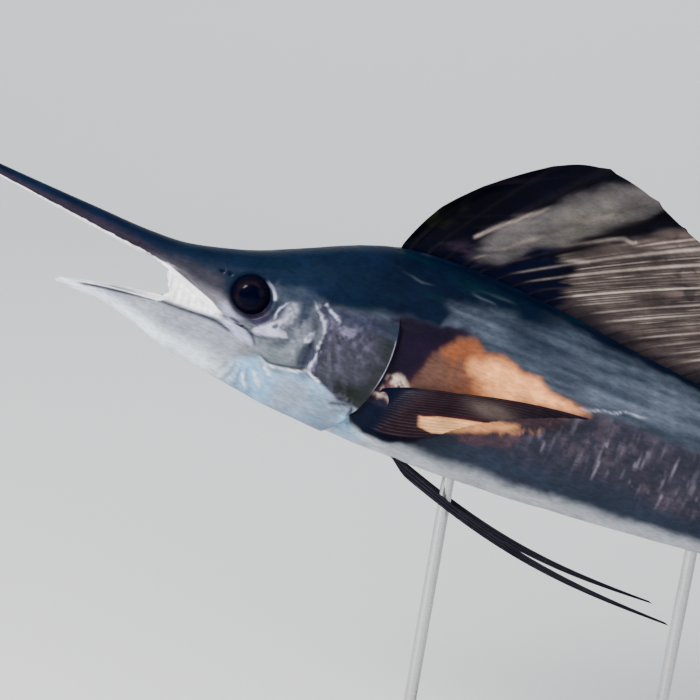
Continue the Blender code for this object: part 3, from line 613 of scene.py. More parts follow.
def skinRelief(place, station):
    # how far each point of the outer skin moves out, in metres
    s = headLines
    x, y, z = place.T
    move = np.zeros(len(x))
    head = (x > 0.012) & (x < 0.5)
    hx, hz, hs = x[head], z[head], station[head]
    rise = np.zeros(len(hx))

    # gill cover, with a free rear edge over the sunk shoulder
    window = fade(0.026, 0.044, hz) * (0.45 + 0.55 * blend(-0.105, -0.085, hz))
    rise += window * 0.0026 * band(hs, 0.37, 0.415, 0.4165, 0.4182)
    rise -= window * 0.0036 * band(hs, 0.4165, 0.4182, 0.424, 0.462)
    _, side, share = nearPath(hx, hz, s["gillTop"])
    rise -= 0.0016 * lump(side, 0.003) * fadedEnds(share)
    rise += 0.001 * band(hx, 0.334, 0.342, 0.36, 0.4) * window
    cover = blend(0.345, 0.36, hx) * fade(0.405, 0.413, hs) * fade(0.015, 0.03, hz) * blend(-0.078,
            -0.06, hz)
    turn = np.arctan2(hz - 0.026, hx - 0.322)
    rise += 0.00035 * cover * np.sin(46 * turn + 3.0 * softNoise(place[head] * (1, 0, 1), 0.03, 4))

    # bones of the cheek
    _, side, share = nearPath(hx, hz, s["cheekRear"])
    rough = 0.7 + 0.45 * softNoise(place[head] * (1, 0, 1), 0.006, 7)
    crinkle = crinkled(hx, hz)
    rise += fadedEnds(share) * (0.0026 * rough * lump(side + crinkle - 0.0005, 0.0022) - 0.0034
                                * lump(side + 0.0068, 0.0044))
    rise -= fadedEnds(share) * 0.0014 * lump(side + crinkle - 0.0055, 0.003)
    _, side, share = nearPath(hx, hz, s["cheekBranch"])
    rise += fadedEnds(share, 0.2, 0.4) * 0.0017 * rough * lump(side + crinkle, 0.0019)
    rise -= 0.0026 * inShape(hx, hz, headPatches["pocket"][1], 0.004)
    rise -= 0.0018 * inShape(hx, hz, headPatches["brownStrip"][1], 0.005) * fade(0.012, 0.03, hz)
    rise += 0.0012 * inShape(hx, hz, headPatches["plate"][1], 0.003)
    cheek = band(hx, 0.262, 0.275, 0.322, 0.332) * fade(0.014, 0.03, hz) * blend(-0.06, -0.05, hz)
    rise += 0.0007 * cheek * (softNoise(place[head] * (1, 0, 1), 0.0095, 8) + 0.6
                              * softNoise(place[head] * (1, 0, 1), 0.0045, 9))
    _, side, share = nearPath(hx, hz, s["cheekLow"])
    rise += fadedEnds(share) * (0.0012 * lump(side - 0.003, 0.0026) - 0.003
                                * lump(side + 0.0012, 0.003))
    _, side, share = nearPath(hx, hz, s["eyePlateLow"])
    rise += fadedEnds(share, 0.2, 0.2) * (0.0014 * lump(side + 0.004, 0.004) - 0.0024
                                          * lump(side - 0.0012, 0.0026))
    _, side, share = nearPath(hx, hz, s["jawCrease"])
    rise += fadedEnds(share, 0.25, 0.2) * (0.0016 * lump(side - 0.0042, 0.004) - 0.0026
                                           * lump(side, 0.0021))
    rise += 0.0036 * np.exp(-(((hx - 0.289) / 0.027) ** 2 + ((hz + 0.048) / 0.021) ** 2) ** 1.6)
    _, side, share = nearPath(hx, hz, s["lowerLip"])
    rise += fadedEnds(share, 0.1, 0.15) * (0.0012 * lump(side + 0.003, 0.0026) - 0.0017
                                           * lump(side, 0.0016))

    # gill membrane under the throat, and its fan of thin bones
    _, side, share = nearPath(hx, hz, s["gillMembrane"])
    rise += (0.0022 * lump(side + 0.0025, 0.0036) - 0.003
             * lump(side - 0.0016, 0.003)) * fadedEnds(share, 0.15, 0.2)
    fanX, fanZ = hx - 0.25, -(hz + 0.046)
    turn, reach = np.arctan2(fanZ, fanX), np.hypot(fanX, fanZ)
    fan = band(turn, 0.34, 0.5, 1.75, 2.1) * blend(0.03, 0.05, reach)
    fan *= fade(0.11, 0.15, reach) * fade(-0.076, -0.064, hz) * blend(0.006, 0.024, np.abs(y[head]))
    rise += 0.0009 * fan * np.sin(26 * turn + 2.6 * softNoise(place[head] * (1, 0, 1), 0.03, 3))
    for fold in s["throatFolds"]:
        _, side, share = nearPath(hx, hz, fold)
        rise += 0.0016 * lump(side, 0.0026) * fadedEnds(share, 0.3, 0.3)

    # round the eye, nostrils, brow and snout
    across, up = hx - eyeSeat["at"][0], hz - eyeSeat["at"][1]
    r = np.hypot(across, up)
    inner, outer, depth = eyeSeat["bowl"]
    rise -= depth * fade(inner, outer, r)
    below = blend(0.014, -0.01, up)
    rise += 0.0016 * lump(r - 0.0295, 0.0026) * (0.3 + 0.7 * below) * blend(0.208, 0.224, hx)
    rise -= 0.0018 * lump(r - 0.0345, 0.003) * below * blend(0.228, 0.246, hx)
    for nx, nz in nostrils:
        rise -= 0.0026 * np.exp(-((hx - nx) / 0.0023) ** 2 - ((hz - nz) / 0.0016) ** 2)
    rise += 0.0018 * lump(hz - 0.033 - 0.35 * (hx - 0.235), 0.007) * lump(hx - 0.238, 0.034)
    rise -= 0.0014 * lump(hz - 0.006, 0.008) * lump(hx - 0.168, 0.026)
    lip = line["upperLip"](hx)
    edge = (hx > 0.09) & (hz > -0.0345) & (hz > lip - 0.001)
    rise += edge * fade(0.205, 0.225, hx) * (0.0013 * lump(hz - lip - 0.0015, 0.0032) - 0.0012
                                             * lump(hz - lip - 0.009, 0.0034))
    move[head] += rise * blend(0.012, 0.03, hx)

    chin = band(x, 0.04, 0.08, 0.3, 0.38) * (z < line["level"](x))
    move -= 0.0024 * chin * lump(y, 0.005)

    # lateral line, fin grooves, keels
    trunk = x > 0.38
    tx, ty, tz = x[trunk], y[trunk], z[trunk]
    _, side, share = nearPath(tx, tz, s["lateralLine"])
    rise = 0.0011 * lump(side, 0.003) * fadedEnds(share, 0.03, 0.07)
    above = tz > 0
    sail = band(tx, 0.375, 0.4, 1.27, 1.3) * above
    rise += sail * (0.002 * lump(np.abs(ty) - 0.0085, 0.0034) - 0.0016 * lump(ty, 0.004))
    groove = band(tx, 0.44, 0.48, 0.86, 0.96) * ~above
    rise += groove * (0.0012 * lump(np.abs(ty) - 0.011, 0.004) - 0.0034 * lump(ty, 0.006))
    keel = band(tx, 1.47, 1.56, 1.592, 1.64)
    rise += 0.0065 * keel * (lump(tz - 0.0085, 0.003) + lump(tz + 0.0085, 0.003)) * (np.abs(tz) < 0.02)
    rise -= 0.0022 * lump(tx - 1.588, 0.008) * blend(0.012, 0.022, np.abs(tz))
    # the fleshy shoulder that the breast fin grows from
    rise += 0.005 * np.exp(-(((tx - 0.44) / 0.036) ** 2
                             + ((tz + 0.082 + 0.1 * (tx - 0.44)) / 0.026) ** 2) ** 2)
    move[trunk] += rise

    # muscle under the skin
    still = blend(0.1, 0.3, x)
    move += still * 0.0009 * softNoise(place, 0.055, 5) + still * 0.0003 * softNoise(place, 0.014, 6)
    chevron = np.sin((x + 0.35 * np.abs(z)) * 2 * math.pi / 0.026)
    move += 0.0003 * chevron * band(x, 0.46, 0.6, 1.45, 1.55) * fade(0.085, 0.11, np.abs(z))
    return move


# the skin's colours, by place on the fish

skinPaint = {
    "back": (0.001, 0.0042, 0.015),
    "tealSheen": (0.0007, 0.011, 0.016),
    "slate": (0.0205, 0.029, 0.045),
    "slateHighlight": (0.102, 0.123, 0.165),
    "flank": (0.0215, 0.0215, 0.035),
    "flankPlum": (0.05, 0.038, 0.052),
    "flankFleck": (0.18, 0.155, 0.2),
    "lowFlank": (0.016, 0.022, 0.038),
    "belly": (0.42, 0.45, 0.5),
    "copper": (0.205, 0.064, 0.027),
    "sunlitCopper": (1.0, 0.42, 0.17),
    "cream": (0.53, 0.285, 0.135),
    "maroon": (0.006, 0.0036, 0.0125),
    "wine": (0.026, 0.0055, 0.008),
    "shoulder": (0.0006, 0.0022, 0.012),
    "bill": (0.0012, 0.0055, 0.02),
    "billSide": (0.016, 0.012, 0.022),
    "white": (0.97, 0.94, 0.97),
    "snout": (0.0013, 0.0072, 0.022),
    "snoutPurple": (0.0215, 0.0215, 0.033),
    "snoutPale": (0.1, 0.093, 0.115),
    "eyeRing": (0.01, 0.0075, 0.017),
    "cheek": (0.068, 0.077, 0.097),
    "cheekPad": (0.098, 0.117, 0.131),
    "pocket": (0.029, 0.032, 0.056),
    "brown": (0.022, 0.026, 0.043),
    "steelBlue": (0.012, 0.019, 0.04),
    "boneAndGlintWhite": (0.56, 0.57, 0.74),
    "gillCover": (0.0265, 0.0265, 0.0395),
    "gillLilac": (0.17, 0.155, 0.25),
    "gillLow": (0.008, 0.012, 0.01),
    "jaw": (0.24, 0.255, 0.308),
    "jawBright": (0.69, 0.77, 0.86),
    # throat: pale skin whose strong blue is painted blue light
    "throat": (0.2, 0.36, 0.55),
    "lipLine": (0.008, 0.0075, 0.018),
    "mouth": (0.46, 0.26, 0.28),
    "umber": (0.082, 0.04, 0.03),
    "mauve": (0.1, 0.046, 0.056),
    "plate": (0.4, 0.39, 0.55),
    "underShade": (0.029, 0.0265, 0.062),
    "maxilla": (0.33, 0.35, 0.49),
    "pearl": (0.5, 0.4, 0.34),
}
# outlines of the patches on the head, each with the softness of its edge
headPatches = {
    "underShade": (0.0025, points(
        214.3, -12.7, 225.8, -21.3, 237.5, -26.6, 253.3, -31.6, 263.9, -23.3, 270.1, -16,
        267.7, -8.5, 263, -2.4, 261, 7.3, 257, 11, 255.5, -9.9, 235, 0)),
    "plate": (0.0014, points(
        253.5, -32.1, 263.2, -25.7, 271.5, -17.6, 283.9, -7.5, 287.7, -9, 280.8, -16.5,
        279.4, -23.5, 288.7, -26.5, 292.7, -30.6, 285.8, -33.7, 272.5, -37.2, 260.5, -39.7,
        252, -38.9, 249.5, -36.6)),
    "plateMark": (0.0014, points(271, -22.7, 275, -18.4, 278.8, -20.5, 276.3, -26, 271.9, -26.4)),
    "underPlate": (0.003, points(264, -41, 293.3, -32, 299.4, -35.4, 295.4, -41.8, 276, -45)),
    "brownStrip": (0.0035, points(
        290.6, 34.4, 304.2, 41.3, 308.3, 20.1, 309.1, 7.4, 308.1, -2.8, 301.8, -11.7, 296.7, -0.6,
        294.8, 14.9)),
    "pocket": (0.0022, points(
        313.6, -34, 323, -24.7, 330, -36.6, 332.6, -45.4, 328.8, -54.7, 314.9, -58.7, 313.6, -51.1,
        313.9, -41.2)),
    "whiteSpot": (0.0016, points(
        312.6, -23, 314.9, -16.4, 320.5, -11.8, 321.5, -18.8, 319.3, -25.8, 313.1, -27.8)),
    "maxilla": (0.003, points(
        209.7, -38.8, 222.5, -34, 235.7, -38.7, 248.8, -43.4, 256.1, -48.7, 255.6, -54.6,
        241.1, -52.8, 226.5, -48.7)),
    "paleCheek": (0.0035, points(
        276, -13, 275.5, -1, 279.5, 11, 289.1, 12.7, 294.9, 1.9, 292.2, -12.1, 284.4, -21.6,
        278.5, -16.5)),
    "slateZone": (0.005, points(
        257.8, 26.7, 276.2, 36, 287.2, 37, 310, 34, 326.3, 29, 330.1, 15.4, 307.9, 18, 289.8, 17,
        280.6, 9.5, 269, 5.7)),
}
# outlines of the patches on the shoulder
patches = {
    "copper": points(
        448.2, -38.2, 450, -25, 462, 13.9, 482.3, 42.5, 503.5, 48.1, 521, 36.6, 540, 41.2,
        570.5, 29.5, 590.4, 31.9, 615.5, 20.7, 642.5, 18.1, 668, 11, 651.8, 6, 622.4, -3,
        599.8, -11, 587, -18, 569.9, -16, 547.4, -13, 465.8, -42),
    "copperDeep": points(
        470, 21, 485.5, 39.9, 508.4, 43.8, 518.7, 38, 520.8, 24.2, 503.8, 17.7, 492.5, 21.5,
        486.7, 11.1),
    "copperSunlitPatch": points(
        540, -8, 527, 4, 522, 20, 530.1, 30, 547.5, 38, 569.9, 30, 595.6, 28.5, 625.1, 23.5,
        642, 17.6, 660, 12, 638.4, 6, 613.5, 0, 590.6, -5, 568.8, -13, 550, -12),
    "mauveRight": points(
        571.6, -6.7, 598.2, 0.2, 639.2, 7, 648, 2, 630, -21.3, 593.8, -30.7, 581.2, -27.4),
    "violetLow": points(
        526.2, -66.4, 554.3, -54.8, 582.9, -44.7, 600, -44, 590, -63, 552.9, -72.4, 532.3, -73.8),
    "maroon": points(
        400, -10, 400, 38, 425, 44, 459.8, 48, 491.5, 60, 508, 54, 482.3, 42.5, 465, 13.9,
        460, -27, 410, -40),
    "slateFront": points(
        461, 74, 493.6, 83, 540, 90, 560, 50, 516, 50, 491.5, 59.1, 474.4, 62.9),
    "orangeStrip": points(
        477, -60.1, 492.1, -53.8, 518.7, -46.8, 548.6, -39.9, 578.1, -32.2, 592, -33, 585.7, -39.1,
        554.1, -54.4, 525.2, -63.9, 493.4, -74.1, 481.6, -72.9),
    "finRoot": points(
        393, -80, 397.5, -69, 415, -65.5, 450, -68, 480, -64, 498.3, -70, 498.1, -81.6,
        482.1, -99.1, 453.7, -111, 420.5, -110, 399, -101),
    "axil": points(
        422, -29.7, 429.9, -24.5, 440.1, -28.1, 453.7, -37.7, 452.8, -51.4, 447.9, -68.1,
        438, -59.8, 427.2, -54.6, 414.6, -59.4, 413.2, -53.2, 422.2, -43),
}


def over(tint, colour, mask):
    mask = np.clip(mask, 0, 1)[:, None]
    return tint * (1 - mask) + np.array(colour) * mask


def spot(x, z, at, size, power=1.5):
    return np.exp(-(((x - at[0]) / size[0]) ** 2 + ((z - at[1]) / size[1]) ** 2) ** power)


def paintHead(x, z, station, tint, wobble, fine, streaks):
    s, r = skinPaint, headLines
    jx, jz = x + 0.001 * fine + 0.0008 * streaks, z + 0.0016 * wobble + 0.0006 * fine
    within = {name: inShape(jx, jz, corners, soft) for name, (soft, corners) in headPatches.items()}
    grit = blend(-0.5, 0.6, fine + 0.4 * wobble)
    hand = over(tint, s["cheek"], np.ones(len(x)))
    # painted highlights: pale flecks behind the eye
    hand = over(hand, s["boneAndGlintWhite"], within["paleCheek"] * (0.06 + 0.36 * grit))
    hand = over(hand, s["cheekPad"], spot(x, z, (0.288, -0.048), (0.027, 0.018), 3))
    hand = over(hand, s["boneAndGlintWhite"], 0.2 * grit * spot(x, z, (0.302, -0.028), (0.012, 0.024)))
    # throat, in pale skin tinted by painted blue light
    hand = over(hand, s["throat"], 1 - blend(-0.076, -0.062, z - 0.06 * (x - 0.3)))
    hand = over(hand, s["cheekPad"], 0.9 * fade(0.262, 0.276, x - 0.45 * (z + 0.055))
                * fade(-0.05, -0.036, z))
    hand = over(hand, s["jaw"], 0.8 * blend(0.285, 0.315, x) * blend(-0.9, 0.5, wobble + 0.5 * streaks)
                * fade(-0.08, -0.066, z))
    # throat below the cheek, in the same painted blue light
    hand = over(hand, s["throat"], fade(-0.007, 0.005, z + 0.064 - 0.5 * (x - 0.268) + 0.003 * wobble)
                * fade(0.268, 0.279, x))
    hand = over(hand, s["jaw"], fade(0.225, 0.262, x) * fade(-0.045, -0.035, z))
    chin = (line["belly"](x) - z) / np.minimum(line["belly"](x) + 0.035, -0.004)
    hand = over(hand, s["jaw"], 0.55 * blend(0.3, 0.75, chin) * fade(0.255, 0.285, x)
                * blend(-0.6, 0.7, streaks + wobble))
    hand = over(hand, s["jawBright"], 0.9 * fade(0.18, 0.55, chin + 0.05 * wobble)
                * fade(0.205, 0.265, x))
    # painted shade under the crease low on the cheek
    hand = over(hand, s["cheekPad"], 0.7 * spot(x, z, (0.289, -0.0712), (0.017, 0.0065)))
    hand = over(hand, s["slate"], 0.26 * blend(0.33, 0.375, x) * fade(-0.085, -0.075, z))
    hand = over(hand, s["maxilla"], within["maxilla"])
    for fold in r["throatFolds"]:
        _, side, t = nearPath(x, z, fold)
        hand = over(hand, s["jawBright"], 0.75 * lump(side, 0.0024) * fadedEnds(t, 0.3, 0.3))

    # snout, between the bill's white edge and the dark crown
    front = 1 - blend(0.212, 0.236, x + 0.25 * z)
    whiteEdge = np.interp(x, (0.09, 0.1335, 0.1605, 0.1928, 0.2035, 0.22),
                          (0.005, -0.0018, -0.0113, -0.0224, -0.0285, -0.0345))
    above = z - whiteEdge
    hand = over(hand, s["snoutPale"], front * blend(-0.0005, 0.0012, above))
    hand = over(hand, s["maxilla"], 0.75 * spot(x, z, (0.221, -0.024), (0.016, 0.0095), 1.5)
                * blend(-0.0005, 0.0012, above))
    paleTop = np.interp(x, (0.12, 0.1344, 0.1547, 0.1736, 0.1905, 0.2051, 0.2174, 0.2283),
                        (0.003, 0.0006, -0.0034, -0.0075, -0.009, -0.011, -0.015, -0.021))
    hand = over(hand, s["snoutPurple"], front * blend(-0.009, 0.008, z - paleTop + 0.004 * wobble)
                * blend(-0.0005, 0.0012, above))
    hand = over(hand, s["white"], front * fade(-0.0008, 0.0008, above) * (z > -0.036)
                * fade(0.203, 0.214, x))
    across, up = x - eyeSeat["at"][0], z - eyeSeat["at"][1]
    around = np.hypot(across, up)
    hand = over(hand, s["underShade"], within["underShade"] * (0.95 - 0.15 * grit))
    hand = over(hand, s["plate"], within["plate"] * (0.75 + 0.25 * grit))
    hand = over(hand, s["brown"], 0.9 * within["plateMark"])
    hand = over(hand, s["steelBlue"], 0.92 * spot(x, z, (0.271, -0.001), (0.0085, 0.013), 2))
    _, side, t = nearPath(x, z, r["orbitRim"])
    hand = over(hand, s["boneAndGlintWhite"], 0.55 * lump(side + 0.6 * crinkled(x, z), 0.0013)
                * fadedEnds(t, 0.15, 0.3))
    # painted shade under the plate below the eye
    hand = over(hand, s["brown"], 0.55 * within["underPlate"])
    # dark ring round the eye, deeper below and behind it as painted shade
    hand = over(hand, s["eyeRing"], lump(around - 0.0245, 0.0046)
                * (0.55 + 0.4 * blend(0.01, -0.016, up - 0.35 * across)))

    # crown
    crownLow = np.interp(x, (0.1, 0.15, 0.18, 0.202, 0.222, 0.25, 0.258, 0.267, 0.277, 0.288, 0.311,
                             0.327, 0.345, 0.383, 0.43),
                         (0.004, 0.013, 0.013, 0.006, 0.004, 0.018, 0.025, 0.0238, 0.0276, 0.0319,
                          0.0276, 0.024, 0.027, 0.0313, 0.033))
    crown = blend(-0.006, 0.007, z - crownLow + 0.004 * wobble + 0.002 * fine)
    hand = over(hand, s["slate"], 0.95 * within["slateZone"] * (1 - 0.35 * grit))
    hand = over(hand, s["steelBlue"], 0.6 * spot(x, z, (0.28, 0.02), (0.022, 0.008), 2))
    hand = over(hand, s["snout"], crown)
    # painted sheen in teal patches over the dark crown
    hand = over(hand, s["tealSheen"], 0.55 * crown * blend(0.0, 0.7, streaks + 0.4 * wobble))
    # painted highlight streak along the nape
    _, side, t = nearPath(x, z, r["napeLines"][0])
    hand = over(hand, s["slateHighlight"], 0.32 * lump(side, 0.0013) * fadedEnds(t, 0.3, 0.3)
                * blend(-0.9, 0.6, streaks))
    hand = over(hand, s["snout"], 0.9 * lump(around - 0.026, 0.007) * blend(-0.014, 0.004, up))
    hand = over(hand, s["snout"], 0.85 * spot(x, z, (0.211, 0.005), (0.011, 0.014)))
    # painted reflection: a pale crescent at the eye's upper rear rim
    _, side, t = nearPath(x, z, r["eyeGlint"])
    hand = over(hand, s["boneAndGlintWhite"], 0.85 * lump(side, 0.0016) * fadedEnds(t, 0.3, 0.15)
                * (0.35 + 0.65 * blend(0.3, 0.8, t)))

    # gill cover: the lilac patch and mottles at its upper front and the pale spot in its middle are painted
    # highlights and reflections; its darker bottom and the band along its rear edge are painted shade
    behind = blend(-0.002, 0.004, x
                   - np.interp(z, (-0.06, -0.05, -0.004, 0.025), (0.331, 0.331, 0.33, 0.31)))
    foot = np.interp(x, (0.331, 0.3494, 0.3666, 0.3748, 0.3941, 0.41),
                     (-0.0597, -0.0669, -0.0747, -0.0793, -0.0785, -0.08))
    cover = behind * (1 - crown) * blend(-0.003, 0.003, z - foot + 0.0015 * wobble)
    hand = over(hand, s["gillCover"], cover)
    hand = over(hand, s["cheek"], 0.3 * cover * spot(x, z, (0.366, -0.026), (0.026, 0.026), 1.2)
                * (0.3 + 0.7 * grit))
    hand = over(hand, s["gillLow"], cover * spot(x, z, (0.384, -0.066), (0.026, 0.012), 1.2))
    hand = over(hand, s["gillLow"], 0.6 * cover * blend(0.388, 0.408, station))
    hand = over(hand, s["gillLow"], 0.5 * cover * spot(x, z, (0.343, -0.028), (0.008, 0.022)))
    hand = over(hand, s["gillLilac"], 0.75 * cover * spot(x, z, (0.348, -0.002), (0.021, 0.012), 1)
                * blend(-0.5, 0.8, fine + 0.7 * wobble))
    hand = over(hand, s["gillLilac"], 0.16 * cover * blend(0.1, 0.8, fine + 0.5 * streaks)
                * fade(0.385, 0.405, x))
    turn = np.arctan2(z - 0.026, x - 0.322)
    rays = softNoise(np.stack((turn * 0.16, 0 * x, np.hypot(z - 0.026, x - 0.322) * 0.3), 1), 0.014, 24)
    hand = over(hand, s["gillLilac"], 0.13 * cover * blend(0.0, 0.9, rays + 0.4 * fine))
    hand = over(hand, s["cheek"], 0.3 * cover * spot(x, z, (0.352, -0.052), (0.014, 0.008)))
    hand = over(hand, s["steelBlue"], 0.6 * cover * blend(0.004, 0.02, z))

    # bones of the cheek
    hand = over(hand, s["steelBlue"], within["brownStrip"] * (0.9 - 0.25 * grit) * (1 - 0.7 * crown))
    hand = over(hand, s["brown"], 0.55 * spot(x, z, (0.3165, 0.005), (0.008, 0.012), 2)
                * (1 - 0.7 * crown))
    hand = over(hand, s["pocket"], within["pocket"] * (0.92 - 0.25 * blend(0.322, 0.312, x)))
    crinkle = crinkled(x, z)
    broken = blend(-0.75, 0.35, fine + 0.5 * streaks)
    _, side, t = nearPath(x, z, r["cheekRear"])
    hand = over(hand, s["brown"], 0.7 * lump(side + crinkle - 0.005, 0.0026) * fadedEnds(t, 0.06, 0.25))
    hand = over(hand, s["boneAndGlintWhite"], 0.85 * broken * lump(side + crinkle, 0.0013 + 0.0007 * grit)
                * fadedEnds(t, 0.1, 0.1))
    hand = over(hand, s["gillLilac"], 0.6 * broken * lump(side + crinkle - 0.0034, 0.0011)
                * fadedEnds(t, 0.1, 0.2))
    _, side, t = nearPath(x, z, r["cheekBranch"])
    hand = over(hand, s["boneAndGlintWhite"], 0.8 * broken * lump(side + crinkle, 0.0013)
                * fadedEnds(t, 0.1, 0.4))
    _, side, t = nearPath(x, z, r["cheekSpur"])
    hand = over(hand, s["white"], 0.85 * lump(side, 0.0013) * fadedEnds(t, 0.15, 0.25))
    hand = over(hand, s["boneAndGlintWhite"], (0.2 + 0.7 * grit) * within["whiteSpot"])
    _, side, t = nearPath(x, z, r["cheekLow"])
    hand = over(hand, s["white"], 0.7 * lump(side + 0.003, 0.0014)
                * (fadedEnds(t, 0.1, 0.2) * (0.35 + 0.65 * broken)))
    hand = over(hand, s["brown"], 0.65 * lump(side - 0.0008, 0.0018) * fadedEnds(t, 0.1, 0.3))
    # painted shade along the plate's lower edge
    _, side, t = nearPath(x, z, r["eyePlateLow"])
    hand = over(hand, s["brown"], 0.65 * lump(side - 0.0012, 0.0017) * fadedEnds(t, 0.2, 0.15))
    _, side, t = nearPath(x, z, r["jawCrease"])
    hand = over(hand, s["lipLine"], 0.85 * lump(side, 0.0017) * fadedEnds(t, 0.2, 0.25))
    low = fade(0.008, 0.016, z) * blend(-0.06, -0.035, z)
    hand = over(hand, s["boneAndGlintWhite"], 0.4 * lump(station - 0.4156, 0.0005) * low)
    _, side, t = nearPath(x, z, r["gillMembrane"])
    hand = over(hand, s["lipLine"], 0.8 * lump(side - 0.0016, 0.0018) * fadedEnds(t, 0.1, 0.75))
    for nx, nz in nostrils:
        hand = over(hand, (0.0005, 0.0005, 0.002),
                    np.exp(-((x - nx) / 0.0024) ** 2 - ((z - nz) / 0.0017) ** 2))
    return hand


def paintSkin(place, station, zone):
    s = skinPaint
    x, y, z = place.T
    flat = np.stack((x, np.where(y < 0, 0.0, 0.4), z), 1)
    wobble = softNoise(flat, 0.045, 11) * 0.6 + softNoise(flat, 0.018, 12) * 0.3 + softNoise(flat,
            0.007, 13) * 0.2
    fine = softNoise(flat, 0.0075, 15) * 0.7 + softNoise(flat, 0.0035, 16) * 0.5
    streaks = softNoise(flat * (0.1, 1, 1), 0.0045, 17) * 0.7 + softNoise(flat * (0.12, 1, 1), 0.011,
            18) * 0.6
    zw = z + 0.007 * wobble
    share = (zw - line["belly"](x)) / (line["back"](x) - line["belly"](x))

    # trunk
    tint = np.tile(np.array(s["flank"]), (len(x), 1))
    tint = over(tint, s["flankPlum"], blend(-0.2, 0.5, wobble + 0.4 * fine))
    bars = blend(0.2, 0.9, np.sin(x * 2 * math.pi / 0.041 + 0.9 * softNoise(flat, 0.06, 19)))
    rear = blend(0.56, 0.66, x) * band(share, 0.16, 0.3, 0.56, 0.66) * fade(1.4, 1.52, x)
    flecks = softNoise(flat * (2.4, 1, 0.7), 0.009, 20) + 0.5 * softNoise(flat * (2.4, 1, 0.7), 0.0045,
            21)
    tint = over(tint, s["flankFleck"], rear * (0.22 + 0.5 * bars)
                * blend(0.15, 0.9, flecks + 0.3 * wobble))
    tint = over(tint, s["flank"], 0.5 * rear * blend(0.2, 0.9, -flecks))
    # slate band on the upper flank: partly the fish's own grey-blue, partly painted reflection of light from
    # above, with painted highlight streaks
    slate = blend(0.61, 0.68, share)
    tint = over(tint, s["slate"], slate)
    tint = over(tint, s["slateHighlight"], slate * (0.34 + 0.36 * blend(0.58, 0.68, x))
                * blend(-0.7, 0.9, streaks))
    tint = over(tint, s["back"], 0.7 * slate * lump(share - 0.825 - 0.03 * wobble, 0.03)
                * band(x, 0.5, 0.53, 0.6, 0.66))
    backLow = np.interp(x, (0.4, 0.455, 0.47, 0.494, 0.54, 0.622, 0.72, 0.85, 1.2, 1.6),
                        (0.69, 0.7, 0.82, 0.845, 0.875, 0.915, 0.935, 0.89, 0.82, 0.76))
    back = blend(-0.028, 0.028, share - backLow)
    back *= 1 - 0.72 * blend(0.56, 0.62, x) * fade(0.955, 0.99, share) * fade(0.8, 1.0, x)
    tint = over(tint, s["back"], back)
    # painted sheen in teal patches over the dark back
    tint = over(tint, s["tealSheen"], 0.6 * back * blend(0.0, 0.8, streaks + 0.5 * wobble))
    # painted highlight streaks on the back
    tint = over(tint, s["slateHighlight"], 0.5 * back * blend(0.55, 1.0, streaks) * blend(0.42, 0.46, x))
    # painted highlight streaks along the nape
    for scuff in headLines["napeLines"]:
        _, side, t = nearPath(x, z, scuff)
        tint = over(tint, s["slateHighlight"], 0.32 * lump(side, 0.0013) * fadedEnds(t, 0.3, 0.3)
                    * blend(-0.9, 0.6, streaks))
    # painted shade: the lower flank's dark blue stands for water darkening the skin
    tint = over(tint, s["lowFlank"], 1 - blend(0.18, 0.34, share))
    tint = over(tint, s["belly"], 1 - blend(0.03, 0.14, share))
    # shoulder: copper flush with a bright core of painted sunlight, maroon shade, dark root of the breast fin
    # partly painted shadow
    jx, jz = x + 0.0035 * wobble + 0.002 * fine, z + 0.003 * wobble + 0.002 * softNoise(flat, 0.01, 14)
    within = {name: inShape(jx, jz, patches[name], 0.004)
              for name in ("maroon", "mauveRight", "violetLow", "orangeStrip", "axil", "finRoot")}
    tint = over(tint, s["maroon"], 0.9 * band(x, 0.402, 0.412, 0.455, 0.5)
                * band(z, -0.075, -0.06, 0.035, 0.048))
    tint = over(tint, s["maroon"], within["maroon"])
    front = inShape(jx, jz, patches["slateFront"], 0.012) * fade(0.505, 0.555, jx - 0.3 * (jz - 0.07))
    # the slate band carried forward over the shoulder, with painted highlight streaks
    tint = over(tint, s["slate"], 0.8 * front)
    tint = over(tint, s["slateHighlight"], front * (0.1 + 0.4 * blend(-0.4, 0.7, streaks + 0.4 * fine)))
    blush = inShape(jx, jz, patches["copper"], 0.012)
    tint = over(tint, s["wine"], 0.9 * blush * fade(0.505, 0.53, jx))
    flush = inShape(jx, jz, patches["copper"], 0.0055)
    patchy = blend(-0.6, 0.6, wobble + 0.6 * fine)
    tint = over(tint, s["umber"], flush)
    tint = over(tint, s["copper"], 0.45 * flush * patchy * blend(0.468, 0.51, jx))
    tint = over(tint, s["copper"], flush * blend(0.5, 0.545, jx + 0.3 * jz))
    tint = over(tint, s["copper"], inShape(jx, jz, patches["copperDeep"], 0.007) * (0.7 + 0.3 * patchy))
    # painted sunlight on the bronze: the copper patch's pale orange core and a spot of it
    tint = over(tint, s["sunlitCopper"], inShape(jx, jz, patches["copperSunlitPatch"], 0.016) * flush
                * (0.78 + 0.22 * blend(-0.7, 0.5, streaks + wobble)))
    tint = over(tint, s["sunlitCopper"], 0.35 * spot(jx, jz, (0.514, 0.018), (0.01, 0.012)) * flush)
    tint = over(tint, s["mauve"], 0.8 * within["mauveRight"] * (0.6 + 0.4 * patchy))
    tint = over(tint, s["mauve"], 0.6 * within["violetLow"] * (0.5 + 0.5 * patchy))
    # orange strip below the breast fin: the same bronze under painted sunlight
    tint = over(tint, s["sunlitCopper"], 0.85 * within["orangeStrip"])
    tint = over(tint, s["cream"], within["orangeStrip"] * fade(0.515, 0.55, jx))
